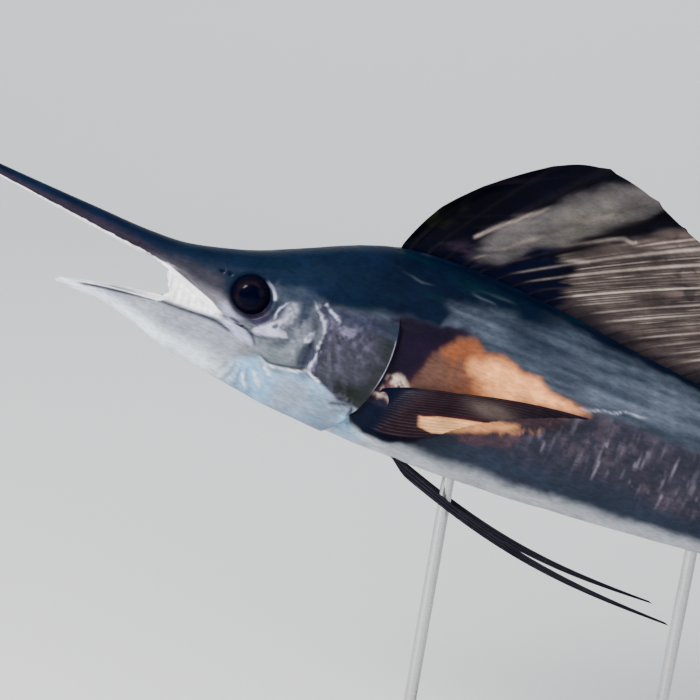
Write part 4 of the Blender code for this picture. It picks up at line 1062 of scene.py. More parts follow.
    # a faint trail of painted sunlight beyond the strip
    _, side, t = nearPath(jx, jz, ((0.54, -0.06), (0.57, -0.048), (0.605, -0.034), (0.635, -0.023)))
    tint = over(tint, s["sunlitCopper"], 0.35 * lump(side, 0.0036) * fadedEnds(t, 0.2, 0.3)
                * blend(-0.3, 0.7, fine))
    tint = over(tint, s["wine"], 0.8 * within["axil"])
    tint = over(tint, s["mauve"], 0.8 * within["axil"] * blend(-0.6, 0.3, wobble))
    # dark root of the breast fin: partly its own dark skin, partly painted shadow under the gill opening
    tint = over(tint, s["shoulder"], within["finRoot"])
    # painted glints: pale sparkle over the axil
    tint = over(tint, s["pearl"], 0.9 * within["axil"] * blend(-0.35, 0.35, fine + 0.3 * wobble))

    # painted highlight: a thin glint line along the upper flank
    _, side, t = nearPath(jx, jz,
                          ((0.645, 0.013), (0.6591, 0.0159), (0.6885, 0.0239), (0.7089, 0.0301),
                           (0.7422, 0.03)))
    tint = over(tint, s["boneAndGlintWhite"], 0.6 * lump(side, 0.0014) * fadedEnds(t, 0.2, 0.2)
                * blend(-1.0, 0.8, fine))

    # head, whose crown runs into the back without a join
    head = 1 - blend(0.4155, 0.4185, station)
    head *= 1 - blend(0.028, 0.04, z) * blend(0.34, 0.4, x)
    near = head > 0
    hand = paintHead(x[near], z[near], station[near], tint[near], wobble[near], fine[near],
                     streaks[near])
    tint[near] = tint[near] * (1 - head[near][:, None]) + hand * head[near][:, None]
    _, side, t = nearPath(x, z, headLines["gillMembrane"])
    # the throat's painted blue light carried behind the gill membrane
    tint = over(tint, s["throat"], (side < 0.001) * (z < -0.094) * band(x, 0.38, 0.39, 0.4, 0.44) * 0.8)

    # bill
    bill = fade(0.08, 0.15, x) * (z > -0.02)
    down = (line["back"](x) - z) / np.maximum(line["back"](x) - line["billUnder"](x), 1e-4)
    paint = over(tint, s["bill"], np.ones(len(x)))
    paint = over(paint, s["billSide"], blend(0.3, 0.6, down + 0.15 * streaks))
    paint = over(paint, s["white"], blend(0.8, 0.86, down + 0.04 * fine))
    tint = tint * (1 - bill[:, None]) + paint * bill[:, None]

    # corner skin and the inside of the mouth
    tint = over(tint, s["white"], band(x, 0.1, 0.13, 0.206, 0.216) * (zone == 1))
    tint = over(tint, s["pearl"], 0.35 * band(x, 0.16, 0.205, 0.206, 0.216) * blend(-0.2, 0.8, wobble)
                * (zone == 1))
    inner = (zone == 2) * fade(0.6, 0.85, np.abs(y) / line["jawFlank"](x))
    tint = over(tint, s["white"], (zone == 2) * blend(0.09, 0.13, x))
    tint = over(tint, s["mouth"], inner * blend(0.09, 0.13, x) * (z > line["jawEdge"](x)))
    tint = over(tint, s["mouth"], 0.6 * inner * (z < line["jawEdge"](x) + 0.002))
    edge = line["jawEdge"](x)
    tint = over(tint, s["jawBright"], 0.8 * lump(z - edge - 0.0006, 0.0016) * fade(0.205, 0.222, x)
                * blend(0.02, 0.05, x))
    # dark line where the jaws meet, partly the seam itself and partly painted shade on the lip's rim
    _, side, t = nearPath(x, z, headLines["lowerLip"])
    broad = 0.002 + 0.0009 * band(x, 0.12, 0.15, 0.2, 0.225)
    tint = over(tint, s["lipLine"], 0.95 * lump(side, broad) * fadedEnds(t, 0.05, 0.12) * (zone < 2))
    return tint * (1 + 0.14 * wobble[:, None] + 0.08 * fine[:, None])


# the skin itself

skinGrid = {"backColumns": 96, "webColumns": 22, "bellyColumns": 64, "roofColumns": 28}


def stationList():
    g = np.arange
    bill = np.concatenate(([-0.303, -0.3022, -0.301], g(-0.3, 0.08, 0.003)))
    head = g(0.0805, bodyShape["webFront"] - 0.0006, 0.0014)
    face = np.append(bodyShape["webFront"], g(bodyShape["webFront"] + 0.0013, 0.296, 0.00125))
    gills = g(0.297, 0.414, 0.0016)
    edge = g(0.4145, 0.42, 0.00045)
    trunk = np.concatenate((g(0.421, 0.47, 0.0018), g(0.4725, 1.279, 0.003)))
    stock = np.concatenate((g(1.282, 1.599, 0.0024), [1.602, bodyShape["tailEnd"]]))
    return bill, head, face, gills, edge, trunk, stock


def gridOf(half, stations, columns, mirrored, zone, ends=None):
    # points of one strip of skin over the stations, with faces by rows and columns
    x, a = np.meshgrid(stations, np.linspace(0, 1, columns), indexing="ij")
    px, h, z = half(x, a)
    if ends is not None:
        px, h, z = ends(x, px, h, z)
    if mirrored:  # from the left edge over the middle to the right edge
        px, a = (np.concatenate((one[:, ::-1], one[:, 1:]), 1) for one in (px, a))
        y = np.concatenate((-h[:, ::-1], h[:, 1:]), 1)
        z = np.concatenate((z[:, ::-1], z[:, 1:]), 1)
        return [(np.stack((px, y, z), -1), a, zone)]
    return [(np.stack((px, -h, z), -1), a, zone), (np.stack((px, h, z), -1), a, zone)]


def roundBill(x, px, h, z):
    # the bill's blunt tip
    t = np.clip((x + 0.3032) / 0.006, 0, 1)
    size = np.sqrt(np.clip(1 - (1 - t) ** 2, 0.02, 1))
    size = np.where(x < -0.2972, size, 1)
    centre = line["level"](-0.3)
    return px, h * size, np.where(x < -0.2972, centre + (z - centre) * size, z)


def roundChin(x, px, h, z):
    t = np.clip((x - 0.01) / 0.006, 0, 1)
    size = np.sqrt(np.clip(1 - (1 - t) ** 2, 0.02, 1))
    size = np.where(x < 0.016, size, 1)
    return px, h * size, np.where(x < 0.016, -0.0672 + (z + 0.0672) * size, z)


def makeSkin(finish):
    g = skinGrid
    bill, head, face, gills, edge, trunk, stock = stationList()
    behind = np.concatenate((face, gills, edge, trunk, stock))
    jaw = np.concatenate(([0.0102, 0.0108, 0.012, 0.014, 0.0165], np.arange(0.019, 0.08, 0.0022), head))
    mouth = face[face <= bodyShape["jawHinge"]]
    whole = np.concatenate((bill, head, behind))
    strips = gridOf(upperHalf, whole, g["backColumns"] + 1, True, 0, roundBill)
    strips += gridOf(lowerHalf, np.concatenate((jaw, behind)), g["bellyColumns"] + 1, False, 0,
                     roundChin)
    strips += gridOf(webHalf, behind, g["webColumns"] + 1, False, 1)
    strips += gridOf(palateHalf, np.concatenate((bill, head, mouth)), g["roofColumns"] + 1, False, 2,
                     roundBill)
    strips += gridOf(floorHalf, np.concatenate((jaw, mouth)), g["roofColumns"] + 1, False, 2, roundChin)
    strips += gridOf(lambda x, w: webHalf(x, w, wallThickness(x)), mouth, g["webColumns"] + 1, False, 2)

    points, faces, zones, shares, start = [], [], [], [], 0
    for grid, share, zone in strips:
        rows, columns = grid.shape[:2]
        points.append(grid.reshape(-1, 3))
        shares.append(share.ravel())
        zones.append(np.full(rows * columns, zone))
        a = (start + np.arange(rows - 1)[:, None] * columns + np.arange(columns - 1)[None, :]).ravel()
        faces.append(np.stack((a, a + 1, a + columns + 1, a + columns), 1))
        start += rows * columns
    points, faces, zones = np.concatenate(points), np.concatenate(faces), np.concatenate(zones)

    mesh = bpy.data.meshes.new("fish_skin")
    mesh.from_pydata(points.tolist(), [], faces.tolist())
    setValue(mesh, "zone", zones)
    setValue(mesh, "share", np.concatenate(shares))
    shaped = bmesh.new()
    shaped.from_mesh(mesh)
    bmesh.ops.remove_doubles(shaped, verts=shaped.verts, dist=2e-6)
    bmesh.ops.dissolve_degenerate(shaped, edges=shaped.edges, dist=1e-7)
    bmesh.ops.holes_fill(shaped, edges=[e for e in shaped.edges if e.is_boundary], sides=0)
    bmesh.ops.triangulate(shaped, faces=[f for f in shaped.faces if len(f.verts) > 4])
    bmesh.ops.recalc_face_normals(shaped, faces=shaped.faces)
    print("skin: open edges left", sum(not e.is_manifold for e in shaped.edges))
    shaped.to_mesh(mesh)
    shaped.free()

    count = len(mesh.vertices)
    co, normal, zone, share = np.zeros(count * 3), np.zeros(count * 3), np.zeros(count), np.zeros(count)
    mesh.vertices.foreach_get("co", co)
    mesh.vertices.foreach_get("normal", normal)
    mesh.attributes["zone"].data.foreach_get("value", zone)
    mesh.attributes["share"].data.foreach_get("value", share)
    place, normal, zone = co.reshape(-1, 3), normal.reshape(-1, 3), np.round(zone)
    x = place[:, 0]
    station = gillStation(x, place[:, 2])
    rim = (share < 0.001) | ((share > 0.999) & (zone == 1))
    outside = rim & ((zone == 1) | (x < bodyShape["webFront"] - 0.0002))
    zone = np.where(outside | ((zone == 1) & (x > 0.232)), 0, zone)
    inWeb = 4 * share * (1 - share) * fade(0.195, 0.215, x)
    pleats = inWeb * 0.0007 * np.sin(x * 2 * math.pi / 0.0085 + 60 * place[:, 2])
    relief = skinRelief(place, station)
    corner = relief * blend(0.205, 0.231, x) + pleats
    move = np.where(zone == 0, relief, np.where(zone == 1, corner, 0))
    shaped = place + normal * move[:, None]
    mesh.vertices.foreach_set("co", toWorld(shaped).ravel())
    setTint(mesh, paintSkin(place, station, zone))
    setPlace(mesh, place)
    mesh.update()
    mesh.shade_smooth()
    addPiece("fish_skin", mesh, finish, "body_skin",
             "bill", "head", "lower_jaw", "trunk_front", "trunk_rear", "tail_stock")
    print("skin: points", count)


# eyes

eyeShape = {
    "radius": 0.0238,
    "depth": 0.013,
    "sideways": 0.0305,
    "yaw": math.radians(7),
    "pupil": (0.0002, 0.0003, 0.006),
    "iris": (0.001, 0.0009, 0.006),
    "irisGold": (0.024, 0.013, 0.011),
    "rim": (0.0022, 0.002, 0.007),
}


def makeEye(side, name, finish):
    s = eyeShape
    ball = bmesh.new()
    bmesh.ops.create_uvsphere(ball, u_segments=96, v_segments=64, radius=1.0)
    mesh = bpy.data.meshes.new(name)
    ball.to_mesh(mesh)
    ball.free()
    p = np.zeros(len(mesh.vertices) * 3)
    mesh.vertices.foreach_get("co", p)
    p = p.reshape(-1, 3)
    p = np.stack((p[:, 0], p[:, 2], p[:, 1]), 1)  # poles to the sides
    r = np.hypot(p[:, 0], p[:, 2]) * s["radius"]
    out = np.where(p[:, 1] * side > 0, 1, 0)
    tint = np.tile(np.array(s["rim"]), (len(p), 1))
    tint = over(tint, s["iris"], 1 - blend(0.0185, 0.0215, r))
    streak = softNoise(np.stack((np.arctan2(p[:, 2], p[:, 0]) * 3, r * 0, r * 0), 1), 0.16, 21)
    # gold-brown ring of the iris, strongest at the upper front, where it is painted reflection
    upFront = blend(-0.3, 0.9, (p[:, 2] - p[:, 0]) * s["radius"] / np.maximum(r, 0.001) * 0.7)
    tint = over(tint, s["irisGold"], (0.3 + 0.4 * streak) * lump(r - 0.0155, 0.0026)
                * (0.15 + 0.85 * upFront))
    tint = over(tint, s["pupil"], 1 - blend(0.0125, 0.014, r))
    p = p * (s["radius"], s["depth"], s["radius"])
    p[:, 1] += side * 0.0012 * out * fade(0.011, 0.02, r)  # the clear bulge over the pupil
    c, n = math.cos(side * s["yaw"]), math.sin(side * s["yaw"])
    p = np.stack((p[:, 0] * c - p[:, 1] * n, p[:, 0] * n + p[:, 1] * c, p[:, 2]), 1)
    p += (eyeSeat["at"][0], side * s["sideways"], eyeSeat["at"][1])
    mesh.vertices.foreach_set("co", toWorld(p).ravel())
    setTint(mesh, tint)
    setPlace(mesh, p)
    mesh.update()
    mesh.shade_smooth()
    fixNormals(mesh)
    addPiece(name, mesh, finish, "eye", name)


# fins

def finMesh(name, middle, thick, tint, finish, slot, *nodes):
    # a closed thin sheet round a grid of middle points, in the fish's frame
    across = np.gradient(middle, axis=0)
    along = np.gradient(middle, axis=1)
    normal = np.cross(across, along)
    length = np.linalg.norm(normal, axis=-1, keepdims=True)
    normal = normal / np.maximum(length, 1e-12)
    left, right = middle - normal * thick[..., None], middle + normal * thick[..., None]
    wide, tall = thick.shape
    index = np.arange(wide * tall).reshape(wide, tall)
    shift = wide * tall
    a, b, c, d = index[:-1, :-1], index[1:, :-1], index[1:, 1:], index[:-1, 1:]
    quads = np.stack((a, b, c, d), -1).reshape(-1, 4)
    back = quads[:, ::-1] + shift
    rim = np.concatenate((index[:, 0], index[-1, 1:], index[-2::-1, -1], index[0, -2:0:-1]))
    after = np.roll(rim, -1)
    edge = np.stack((rim, rim + shift, after + shift, after), 1)
    places = np.concatenate((left.reshape(-1, 3), right.reshape(-1, 3)))
    mesh = bpy.data.meshes.new(name)
    mesh.from_pydata(toWorld(places).tolist(), [], np.concatenate((quads, back, edge)).tolist())
    setTint(mesh, np.concatenate((tint, tint)))
    setPlace(mesh, np.concatenate((middle.reshape(-1, 3), middle.reshape(-1, 3))))
    fixNormals(mesh)
    mesh.shade_smooth()
    addPiece(name, mesh, finish, slot, *nodes)


def finGrid(rays, perRay, rows):
    # shares across and along the fin, and how near each column is to the crest of its ray
    u, v = np.meshgrid(np.linspace(0, 1, rays * perRay + 1), np.linspace(0, 1, rows), indexing="ij")
    phase = (u * rays) % 1.0
    ridge = np.clip(np.cos((phase - 0.5) * 2 * math.pi), 0, 1) ** 1.6
    return u, v, ridge


def leaning(base, length, lean, curl, v, rise=1):
    angle = np.radians(lean - curl * v)
    return base[0] + length * v * np.cos(angle), base[1] + rise * length * v * np.sin(angle)


sailShape = {
    "rays": 42,
    "perRay": 12,
    "rows": 90,
    "start": 0.385,
    "end": 1.285,
    "sunk": 0.006,
    "length": ((0.0, 0.072), (0.017, 0.134), (0.039, 0.19), (0.058, 0.222), (0.072, 0.24),
               (0.086, 0.25),
               (0.117, 0.262), (0.16, 0.285), (0.25, 0.335), (0.4, 0.41), (0.55, 0.455), (0.65, 0.45),
               (0.75, 0.4), (0.85, 0.29), (0.93, 0.165), (1.0, 0.055)),
    "lean": ((0.0, 70), (0.017, 62), (0.039, 57), (0.058, 52), (0.072, 45), (0.086, 38), (0.117, 31),
             (0.16, 26), (0.25, 24), (0.4, 25), (0.6, 28), (0.85, 28), (1.0, 26)),
    "curl": 3,
    "foldAt": (0.074, 0.1),
    "fold": 0.012,
    "rayRadius": 0.0015,
    "membrane": 0.00045,
}
sailPaint = {
    "baseShade": (0.0004, 0.001, 0.008),
    "front": (0.0005, 0.0009, 0.0045),
    "moss": (0.01, 0.0115, 0.007),
    "wine": (0.016, 0.0095, 0.02),
    "middle": (0.09, 0.08, 0.082),
    "olive": (0.108, 0.1, 0.09),
    "khaki": (0.036, 0.0275, 0.027),
    "sand": (0.1, 0.073, 0.064),
    "fold": (0.0015, 0.0012, 0.003),
    "ray": (0.36, 0.295, 0.26),
    "rayDark": (0.007, 0.005, 0.008),
    "spot": (0.004, 0.004, 0.01),
}
# outlines of the sail's colour patches, by place on the fish
sailPatches = {
    "middle": points(
        440, 148, 458.7, 162.8, 486.5, 188.2, 517.7, 218.9, 533.7, 233.1, 555, 254.6, 590, 286,
        660, 305, 650, 260, 605.4, 230.2, 574.7, 199, 536.5, 176, 498, 144.3, 472, 132, 462, 145),
    "olive": points(538, 196, 550, 235, 590, 260, 630, 266, 612, 235, 574.7, 199),
    "wine": points(444, 150, 452, 155.5, 459, 153.5, 472, 140, 484.9, 136.6, 470, 130, 450, 140),
    "moss": points(397.5, 168.7, 405, 189.8, 439, 202.9, 441.8, 175.3, 417.2, 158.1),
    "rear": points(
        590, 90, 586.1, 111, 594.2, 171.3, 570, 185, 592, 197, 631, 222, 679, 255, 763, 295,
        1150, 420, 1550, 350, 1700, 20, 1290, 30),
}
# line of the sail's fold, painted with a dark band of shade
sailFold = points(552, 168, 578, 188.5, 620.6, 227.5, 663.6, 265.1, 703, 295.5)
# painted highlights along single rays, each with its strength
sailGlints = ((points(460, 161.5, 488, 190.4, 528.7, 226.8, 540, 235), 1.0),
              (points(
        650, 229, 644.6, 225.6, 633.2, 227.3, 621, 221.9, 599, 209.4, 567.8, 192.6, 540.9, 183.5), 0.8),
              (points(605.9, 186.5, 583.8, 179, 562.3, 169.7), 0.7))


def makeSail(finish):
    s, c = sailShape, sailPaint
    u, v, ridge = finGrid(s["rays"], s["perRay"], s["rows"])
    ridge = ridge ** 3.2
    between = np.clip(np.cos((u * s["rays"]) % 1.0 * 2 * math.pi), 0, 1) ** 6  # a fine branch between the rays
    length, lean = throughKnots(s["length"], 0.007)(u), throughKnots(s["lean"], 0.007)(u)
    baseX = s["start"] + u * (s["end"] - s["start"])
    notch = 0.012 + 0.007 * np.sin(u * s["rays"] * 2.4 + 1.0)
    reach = v * (1 - notch * (1 - ridge) * blend(0.6, 1.0, v))
    x, z = leaning((baseX, line["back"](baseX)), length, lean + s["curl"], s["curl"], reach)
    z = z - s["sunk"] * fade(0, 0.1, v)
    y = reach ** 1.6 * (0.024 * np.sin(9.0 * baseX + 0.6) - 0.01)
    y += s["fold"] * reach ** 1.2 * (2 * blend(*s["foldAt"], u) - 1) * fade(0.12, 0.24, u)
    # the membrane puckers between its rays
    flat = np.stack((x.ravel(), 0 * x.ravel(), z.ravel()), 1)
    y += 0.0013 * np.sin(u * s["rays"] * math.pi) * (1 - ridge) * blend(0.05, 0.3, v)
    y += 0.002 * softNoise(flat, 0.035, 31).reshape(x.shape) * blend(0.1, 0.5, v)
    y += 0.0008 * softNoise(flat, 0.012, 30).reshape(x.shape) * blend(0.05, 0.3, v) * (1 - 0.7 * ridge)
    middle = np.stack((x, y, z), -1)
    thin = 1 - 0.6 * v
    thick = s["membrane"] + (s["rayRadius"] * thin - s["membrane"]) * (ridge + 0.4 * between
            * blend(0.15, 0.4, v))
    thick *= 1 - 0.35 * blend(0.93, 1.0, v)

    # paint
    px, pz = x.ravel() - 0.002, z.ravel() + 0.0052
    flatU, flatV, crest = u.ravel(), v.ravel(), ridge.ravel()
    rough = softNoise(flat, 0.03, 32) * 0.6 + softNoise(flat, 0.011, 33) * 0.4
    turned = flat @ np.array(((0.92, 0, 0.39), (0, 1, 0), (-0.39, 0, 0.92))).T  # along the rays
    grain = softNoise(turned * (0.09, 1, 1), 0.0045, 39) * 0.6 + softNoise(turned * (0.12, 1, 1),
            0.013, 40) * 0.7
    pull = 0.016 * grain  # colours run along the rays
    jx, jz = px + 0.004 * rough + 0.92 * pull, pz + 0.004 * softNoise(flat, 0.018, 38) + 0.39 * pull
    within = {name: inShape(jx, jz, corners, 0.007) for name, corners in sailPatches.items()}
    tint = np.tile(np.array(c["front"]), (len(px), 1))
    tint = over(tint, c["moss"], within["moss"] * blend(-0.4, 0.4, rough))
    tint = over(tint, c["wine"], 0.5 * blend(0.3, 0.9, grain) * (px < 0.56) * blend(0.42, 0.45, px))
    # painted shade near the sail's root, deepest over its lower front
    tint = over(tint, c["baseShade"], fade(0.1, 0.3, flatV + 0.1 * rough) * blend(0.42, 0.46, px)
                * (1 - within["rear"]))
    tint = over(tint, c["baseShade"], band(jx, 0.495, 0.52, 0.56, 0.6) * (jz < 0.19))
    tint = over(tint, c["wine"], within["wine"])
    tint = over(tint, c["middle"], within["middle"] * (0.85 + 0.3 * grain)
                * blend(0.462, 0.492, px + 0.006 * grain))
    tint = over(tint, c["olive"], inShape(jx, jz, sailPatches["olive"], 0.014) * (0.85 + 0.3 * rough))
    rear = within["rear"]
    # painted sunlight shining through the rear panel: khaki, lighter sand towards the back
    tint = over(tint, c["khaki"], rear)
    tint = over(tint, c["sand"], 0.75 * rear * blend(-0.2, 0.8, grain + 0.3 * rough)
                * blend(0.58, 0.7, px))
    # painted shade along the rear panel's root
    tint = over(tint, c["baseShade"], 0.75 * rear * fade(0.02, 0.13, flatV))
    # painted shade in the fold, widening towards its upper end
    _, side, t = nearPath(jx, jz, sailFold)
    tint = over(tint, c["fold"], np.exp(-(side / (0.0035 + 0.0075 * t)) ** 2) * blend(0, 0.15, t))
    # painted highlights in the ray colour
    for path, bright in sailGlints:
        _, side, t = nearPath(px, pz, path)
        tint = over(tint, c["ray"], bright * lump(side, 0.0019) * fadedEnds(t, 0.05, 0.8)
                    * (0.75 + 0.35 * grain))
    # rays, some of them bold and bright as painted glints, broken in places
    number = np.floor(flatU * s["rays"])
    bold = 0.5 + 0.5 * np.sin(number * 2.45 + 0.7)
    patchy = softNoise(np.stack((flatV * 0.45 + number * 0.37, number * 1.7, 0 * px), 1), 0.085, 41)
    tint = over(tint, c["rayDark"], 0.5 * crest * (1 - rear) * (1 - 0.6 * within["middle"]))
    tint = over(tint, c["ray"], 0.22 * crest * within["middle"] * blend(0.1, 0.6, grain + bold - 0.5))
    tint = over(tint, c["rayDark"], 0.7 * rear * crest * (1 - bold))
    strength = np.clip(0.1 + 0.85 * bold + 0.55 * patchy, 0, 1)
    reachIn = np.maximum(rear, 0.45 * blend(0.5, 0.56, px) * (pz < 0.19))
    tint = over(tint, c["ray"], strength * crest * reachIn * blend(0.06, 0.16, flatV))
    shade = lump((flatU * s["rays"]) % 1.0 - 0.8, 0.12)
    tint = over(tint, c["rayDark"], 0.6 * rear * shade * bold)
    phase = (flatU * s["rays"]) % 1.0
    for at, bright in ((0.0, 0.55), (1.0, 0.55), (0.24, 0.35), (0.8, 0.3)):
        gap = blend(-0.5, 0.6, patchy + 0.8
                    * softNoise(np.stack((flatV * 0.6 + number * 0.21 + at, number * 1.3, 0 * px), 1),
                                0.06, 42))
        tint = over(tint, c["ray"], bright * rear * lump(phase - at, 0.055) * gap
                    * blend(0.1, 0.2, flatV))
        tint = over(tint, c["rayDark"], 0.45 * rear * lump(phase - at - 0.09, 0.045) * gap)
    for k in range(3):
        speck = softNoise(flat + (0.013 * k, 0, 0.007 * k), 0.011, 34 + k)
        tint = over(tint, c["spot"], 0.6 * blend(0.62, 0.78, speck) * (1 - crest)
                    * blend(0.3, 0.5, flatV) * blend(0.62, 0.75, px))
    return finMesh("sail", middle, thick, tint * (1 + 0.15 * rough[:, None]), finish, "sail_membrane",
                   "dorsal_fin_first")


smallFins = {
    "dorsal_fin_second": {"edge": "back", "rise": 1, "start": 1.352, "end": 1.432, "rays": 7,
                          "length": ((0.0, 0.052), (0.5, 0.036), (1.0, 0.062)), "lean": (48, 14)},
    "anal_fin_first": {"edge": "belly", "rise": -1, "start": 1.01, "end": 1.195, "rays": 14,
                       "length": ((0.0, 0.075), (0.1, 0.15), (0.25, 0.12), (0.5, 0.07), (1.0, 0.035)),
                       "lean": (52, 30)},
    "anal_fin_second": {"edge": "belly", "rise": -1, "start": 1.342, "end": 1.422, "rays": 7,
                        "length": ((0.0, 0.052), (0.5, 0.036), (1.0, 0.062)), "lean": (48, 14)},
}
finPaint = {
    "dark": (0.005, 0.006, 0.013),
    "plum": (0.011, 0.0055, 0.0095),
    "ray": (0.055, 0.038, 0.037),
    "edge": (0.004, 0.004, 0.008),
    "stripe": (0.045, 0.027, 0.03),
    "olive": (0.1, 0.074, 0.066),
}


def finTint(middle, v, ridge, base, ray, seed):
    flat = middle.reshape(-1, 3)
    rough = softNoise(flat, 0.02, seed) * 0.6 + softNoise(flat, 0.008, seed + 1) * 0.4
    tint = np.tile(np.array(base), (len(flat), 1))
    tint = over(tint, ray, 0.75 * ridge.ravel() ** 1.5 * (0.7 + 0.3 * rough))
    tint = over(tint, finPaint["edge"], 0.7 * blend(0.75, 1.0, v.ravel()))
    return tint * (1 + 0.2 * rough[:, None])


def makeSmallFins(finish):
    for k, (name, s) in enumerate(smallFins.items()):
        u, v, ridge = finGrid(s["rays"], 10, 44)
        baseX = s["start"] + u * (s["end"] - s["start"])
        lean = s["lean"][0] + (s["lean"][1] - s["lean"][0]) * u ** 0.6
        reach = v * (1 - 0.02 * (1 - ridge) * blend(0.7, 1.0, v))
        x, z = leaning((baseX, line[s["edge"]](baseX)), throughKnots(s["length"])(u), lean, 8, reach,
                       s["rise"])
        z = z - s["rise"] * 0.005 * fade(0, 0.15, v)
        y = 0.0016 * v * np.sin(u * 9 + k)
        middle = np.stack((x, y, z), -1)
        thick = 0.0005 + (0.0017 * (1 - 0.6 * v) - 0.0005) * ridge + 0.0012 * fade(0, 0.25, v)
        tint = finTint(middle, v, ridge, finPaint["dark"], finPaint["ray"], 40 + k)
        finMesh(name + "_fine", middle, thick, tint, finish, "fin_membrane", name)


tailShape = {"rays": 16, "perRay": 8, "rows": 90, "rootHalf": 0.0225, "thick": 0.0052}


def bezier(start, middle, end, t):
    return (1 - t) ** 2 * start + 2 * t * (1 - t) * middle + t * t * end


def makeTailFin(finish):
    s = tailShape
    tip, fork, hollow = (1.86, 0.3), (1.65, 0.004), (1.705, 0.105)
    for name, rise in (("caudal_fin_upper", 1), ("caudal_fin_lower", -1)):
        u, v, ridge = finGrid(s["rays"], s["perRay"], s["rows"])
        t = (0.022 + 0.978 * u) ** 0.75
        endX, endZ = (bezier(tip[k], hollow[k], fork[k], t) for k in (0, 1))
        rootX, rootZ = bodyShape["tailEnd"] - 0.012, s["rootHalf"] * (1 - u) + 0.0003
        bowX = rootX + 0.42 * (endX - rootX) - 0.052 * (1 - u) ** 1.5
        bowZ = rootZ + 0.42 * (endZ - rootZ) + 0.046 * (1 - u) ** 1.5
        reach = v * (1 - 0.012 * (1 - ridge) * blend(0.8, 1.0, v))
        x, z = bezier(rootX, bowX, endX, reach), bezier(rootZ, bowZ, endZ, reach)
        y = 0.004 * v * np.sin(2.6 * v + u * 2)
        middle = np.stack((x, y, rise * z), -1)
        crest = ridge * (1 - 0.75 * blend(0.0, 0.9, 1 - v) ** 3)
        thick = 0.0006 + s["thick"] * (1 - v) ** 1.3 + 0.0011 * crest * (1 - 0.5
                * v) + 0.0012 * fade(0.0, 0.05, u) * (1 - v)
        tint = finTint(middle, v, ridge, finPaint["dark"], finPaint["ray"], 50 + rise)
        finMesh(name + "_fine", middle, thick, tint, finish, "fin_membrane", name)


def flankDistance(x, z):
    level = line["level"](x)
    height = np.where(z > level, line["back"](x) - level, level - line["belly"](x))
    return line["flank"](x) * np.sqrt(np.clip(1 - ((z - level) / height) ** 2, 0, 1))


pectoralShape = {
    "rays": 18,
    "root": ((0.421, -0.046), (0.404, -0.098)),
    "edge": ((0.68, 0.012), (0.55, -0.022), (0.5, -0.078)),
    "swell": 0.0042,
}


def makePectoralFins(finish):
    s = pectoralShape
    for name, side in (("pectoral_fin_left", -1), ("pectoral_fin_right", 1)):
        u, v, ridge = finGrid(s["rays"], 8, 110)
        end = [bezier(*(corner[k] for corner in s["edge"]), (0.018 + 0.982 * u) ** 0.8) for k in (0, 1)]
        root = [s["root"][0][k] + (s["root"][1][k] - s["root"][0][k]) * u for k in (0, 1)]
        bowX = 0.5 * (root[0] + end[0]) - 0.004 * (1 - u)
        bowZ = 0.5 * (root[1] + end[1]) + 0.02 * (1 - u) - 0.016 * u ** 2
        reach = v * (1 - 0.012 * (1 - ridge) * blend(0.8, 1.0, v))
        x, z = bezier(root[0], bowX, end[0], reach), bezier(root[1], bowZ, end[1], reach)
        off = -0.006 + 0.017 * blend(0.0, 0.35, v) + 0.008 * v + 0.0015 * np.sin(u * 7 + v * 5) * v
        middle = np.stack((x, side * (flankDistance(x, z) + off), z), -1)
        lead = 1 - blend(0.0, 0.07, u)
        crest = ridge * blend(0.12, 0.34, v)
        thick = 0.0005 + 0.0012 * crest * (1 - 0.6 * v) + 0.0014 * lead * (1 - 0.8 * v)
        thick += s["swell"] * np.maximum(0, 1 - v / 0.36) ** 2
        tint = finTint(middle, v, crest, finPaint["plum"], finPaint["stripe"], 60 + side)
        # the fin's root in the same dark, partly painted shadow
        root = 1 - blend(0.2, 0.4, v.ravel() + 0.14 * (1 - u.ravel()))
        tint = over(tint, skinPaint["shoulder"], 0.96 * root)
        px, pz = x.ravel(), z.ravel()
        # painted highlight: a lighter olive patch on the fin's middle
        tint = over(tint, finPaint["olive"], 0.75
                    * spot(px, pz, (0.549, -0.0235), (0.028, 0.0095), 1.2))
        top = np.interp(px, (0.477, 0.4921, 0.5187, 0.5486, 0.5781),
                        (-0.0601, -0.0538, -0.0468, -0.0399, -0.0322))
        foot = np.interp(px, (0.4816, 0.4934, 0.5252, 0.5541, 0.5857),
                         (-0.0729, -0.0741, -0.0639, -0.0544, -0.0391))
        reach = blend(0.47, 0.482, px + 0.3 * (pz + 0.066))
        tint = over(tint, skinPaint["wine"], 0.8 * lump(pz - top - 0.0026, 0.0024) * reach
                    * fade(0.535, 0.56, px))
        # the flank's orange strip, bronze under painted sunlight, carried onto the fin
        strip = blend(-0.002, 0.002, top - pz) * blend(-0.002, 0.002, pz - foot) * reach * (1 - 0.25
                * crest.ravel())
        tint = over(tint, skinPaint["sunlitCopper"], strip)
        tint = over(tint, skinPaint["cream"], strip * fade(0.505, 0.545, px))
        finMesh(name + "_fine", middle, thick, tint, finish, "fin_membrane", name)


def makePelvicFins(finish):
    for name, side in (("pelvic_fin_left", -1), ("pelvic_fin_right", 1)):
        u, v, ridge = finGrid(3, 14, 150)
        x = 0.448 + 0.41 * v + 0.006 * u
        width = 0.015 * (1 - 0.85 * v ** 1.5) * (0.15 + 0.85 * blend(0, 0.1, v))
        z = -0.118 - 0.083 * v - 0.022 * np.sin(math.pi * v) - width * u
        middle = np.stack((x, side * (0.01 + 0.034 * v), z), -1)
        thick = 0.0006 + 0.0014 * (1 - 0.7 * v) * ridge + 0.0012 * fade(0, 0.12, v)
        tint = finTint(middle, v, ridge, finPaint["dark"], finPaint["ray"], 70 + side)
        finMesh(name + "_fine", middle, thick, tint, finish, "fin_membrane", name)


# stand, studio and camera

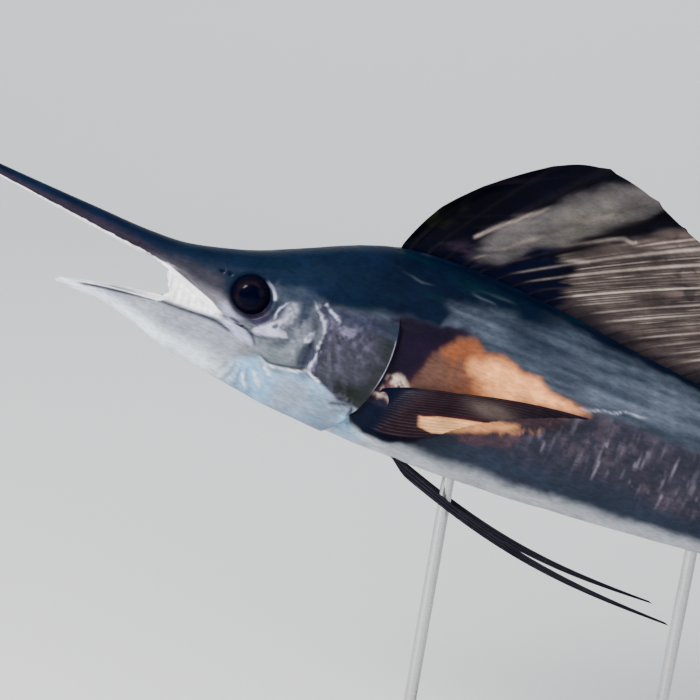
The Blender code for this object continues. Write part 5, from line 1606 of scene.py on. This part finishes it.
def finishStand(wood, steel):
    for name, finish in (("stand_base", wood), ("stand_rod_front", steel), ("stand_rod_rear", steel)):
        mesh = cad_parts[name].data
        mesh.materials.clear()
        mesh.materials.append(finish)


studio = {
    "floor": (0.9, 0.9, 0.9, 1),
    "world": (0.86, 0.9, 0.95, 1),
    "worldStrength": 0.45,
    "floorRadius": 6.0,
    "sweep": 3.0,
    "wallHeight": 4.0,
    # name: (place, aimed at, size in metres, watts, colour)
    "lights": {
        "key": ((-2.25, -1.95, 2.25), (-0.2, 0.0, 0.6), 1.0, 215, (1.0, 0.98, 0.95)),
        "fill": ((1.6, -2.6, 1.4), (0.2, 0.0, 0.5), 2.0, 28, (0.9, 0.95, 1.0)),
        "rim": ((-0.4, 2.2, 2.4), (0.0, 0.0, 0.7), 1.6, 10, (0.92, 0.96, 1.0)),
        "backdrop": ((0.0, 2.5, 5.5), (0.0, 9.0, 1.5), 3.0, 300, (0.95, 0.97, 1.0)),
    },
}


def makeStudio():
    # a round floor that sweeps up into a wall, so that no horizon shows
    s = studio
    turns = np.radians(np.arange(0, 90.1, 7.5))
    rim = [(s["floorRadius"] + s["sweep"] * math.sin(t), s["sweep"] * (1 - math.cos(t))) for t in turns]
    rim.append((rim[-1][0], s["wallHeight"]))
    sides = 96
    points = [(0, 0, 0)]
    for r, z in rim:
        points += [(r * math.cos(k * math.tau / sides), r * math.sin(k * math.tau / sides),
                    z) for k in range(sides)]
    faces = [(0, 1 + k, 1 + (k + 1) % sides) for k in range(sides)]
    for row in range(len(rim) - 1):
        low, high = 1 + row * sides, 1 + (row + 1) * sides
        faces += [(low + k, high + k, high + (k + 1) % sides, low
                   + (k + 1) % sides) for k in range(sides)]
    mesh = bpy.data.meshes.new("floor")
    mesh.from_pydata(points, [], faces)
    mesh.shade_smooth()
    floor = bpy.data.objects.new("floor", mesh)
    bpy.context.scene.collection.objects.link(floor)
    made, nodes, links, shader = newMaterial("paleFloor")
    shader.inputs["Base Color"].default_value = s["floor"]
    shader.inputs["Roughness"].default_value = 0.6
    mesh.materials.append(made)
    world = bpy.data.worlds.new("studio")
    world.use_nodes = True
    bpy.context.scene.world = world
    world.node_tree.nodes["Background"].inputs["Color"].default_value = s["world"]
    world.node_tree.nodes["Background"].inputs["Strength"].default_value = s["worldStrength"]
    for name, (place, aim, size, watts, colour) in s["lights"].items():
        lamp = bpy.data.lights.new(name, "AREA")
        lamp.size, lamp.energy, lamp.color = size, watts, colour
        made = bpy.data.objects.new(name, lamp)
        made.location = place
        made.rotation_euler = (Vector(aim) - Vector(place)).to_track_quat("-Z", "Y").to_euler()
        bpy.context.scene.collection.objects.link(made)


cameraView = {
    "target": Vector((-0.2463, 0.0, 0.619)),
    "distance": 2.2,
    "azimuth": math.radians(-5),
    "elevation": math.radians(9),
    "roll": math.radians(9.2),
    "lens": 92.7,
}


def makeCamera():
    s = cameraView
    a, e = s["azimuth"], s["elevation"]
    forward = Vector((-math.sin(a) * math.cos(e), math.cos(a) * math.cos(e), -math.sin(e)))
    lens = bpy.data.cameras.new("photoView")
    lens.lens, lens.sensor_width = s["lens"], 36.0
    camera = bpy.data.objects.new("photoView", lens)
    camera.rotation_mode = "QUATERNION"
    camera.location = s["target"] - forward * s["distance"]
    camera.rotation_quaternion = forward.to_track_quat("-Z", "Y") @ Quaternion((0, 0, 1), s["roll"])
    bpy.context.scene.collection.objects.link(camera)
    bpy.context.scene.camera = camera


makeCamera()
makeStudio()
print("camera and studio set")
makeSkin(makeSkinMaterial())
eyeGloss = makeEyeMaterial()
makeEye(-1, "eye_left", eyeGloss)
makeEye(1, "eye_right", eyeGloss)
print("eyes set")
makeSail(makeFinMaterial("sailMembrane"))
finGloss = makeFinMaterial("finMembrane")
makeSmallFins(finGloss)
makeTailFin(finGloss)
makePectoralFins(finGloss)
makePelvicFins(finGloss)
print("fins set")
finishStand(makeWoodMaterial(), makeSteelMaterial())
print("stand finished")
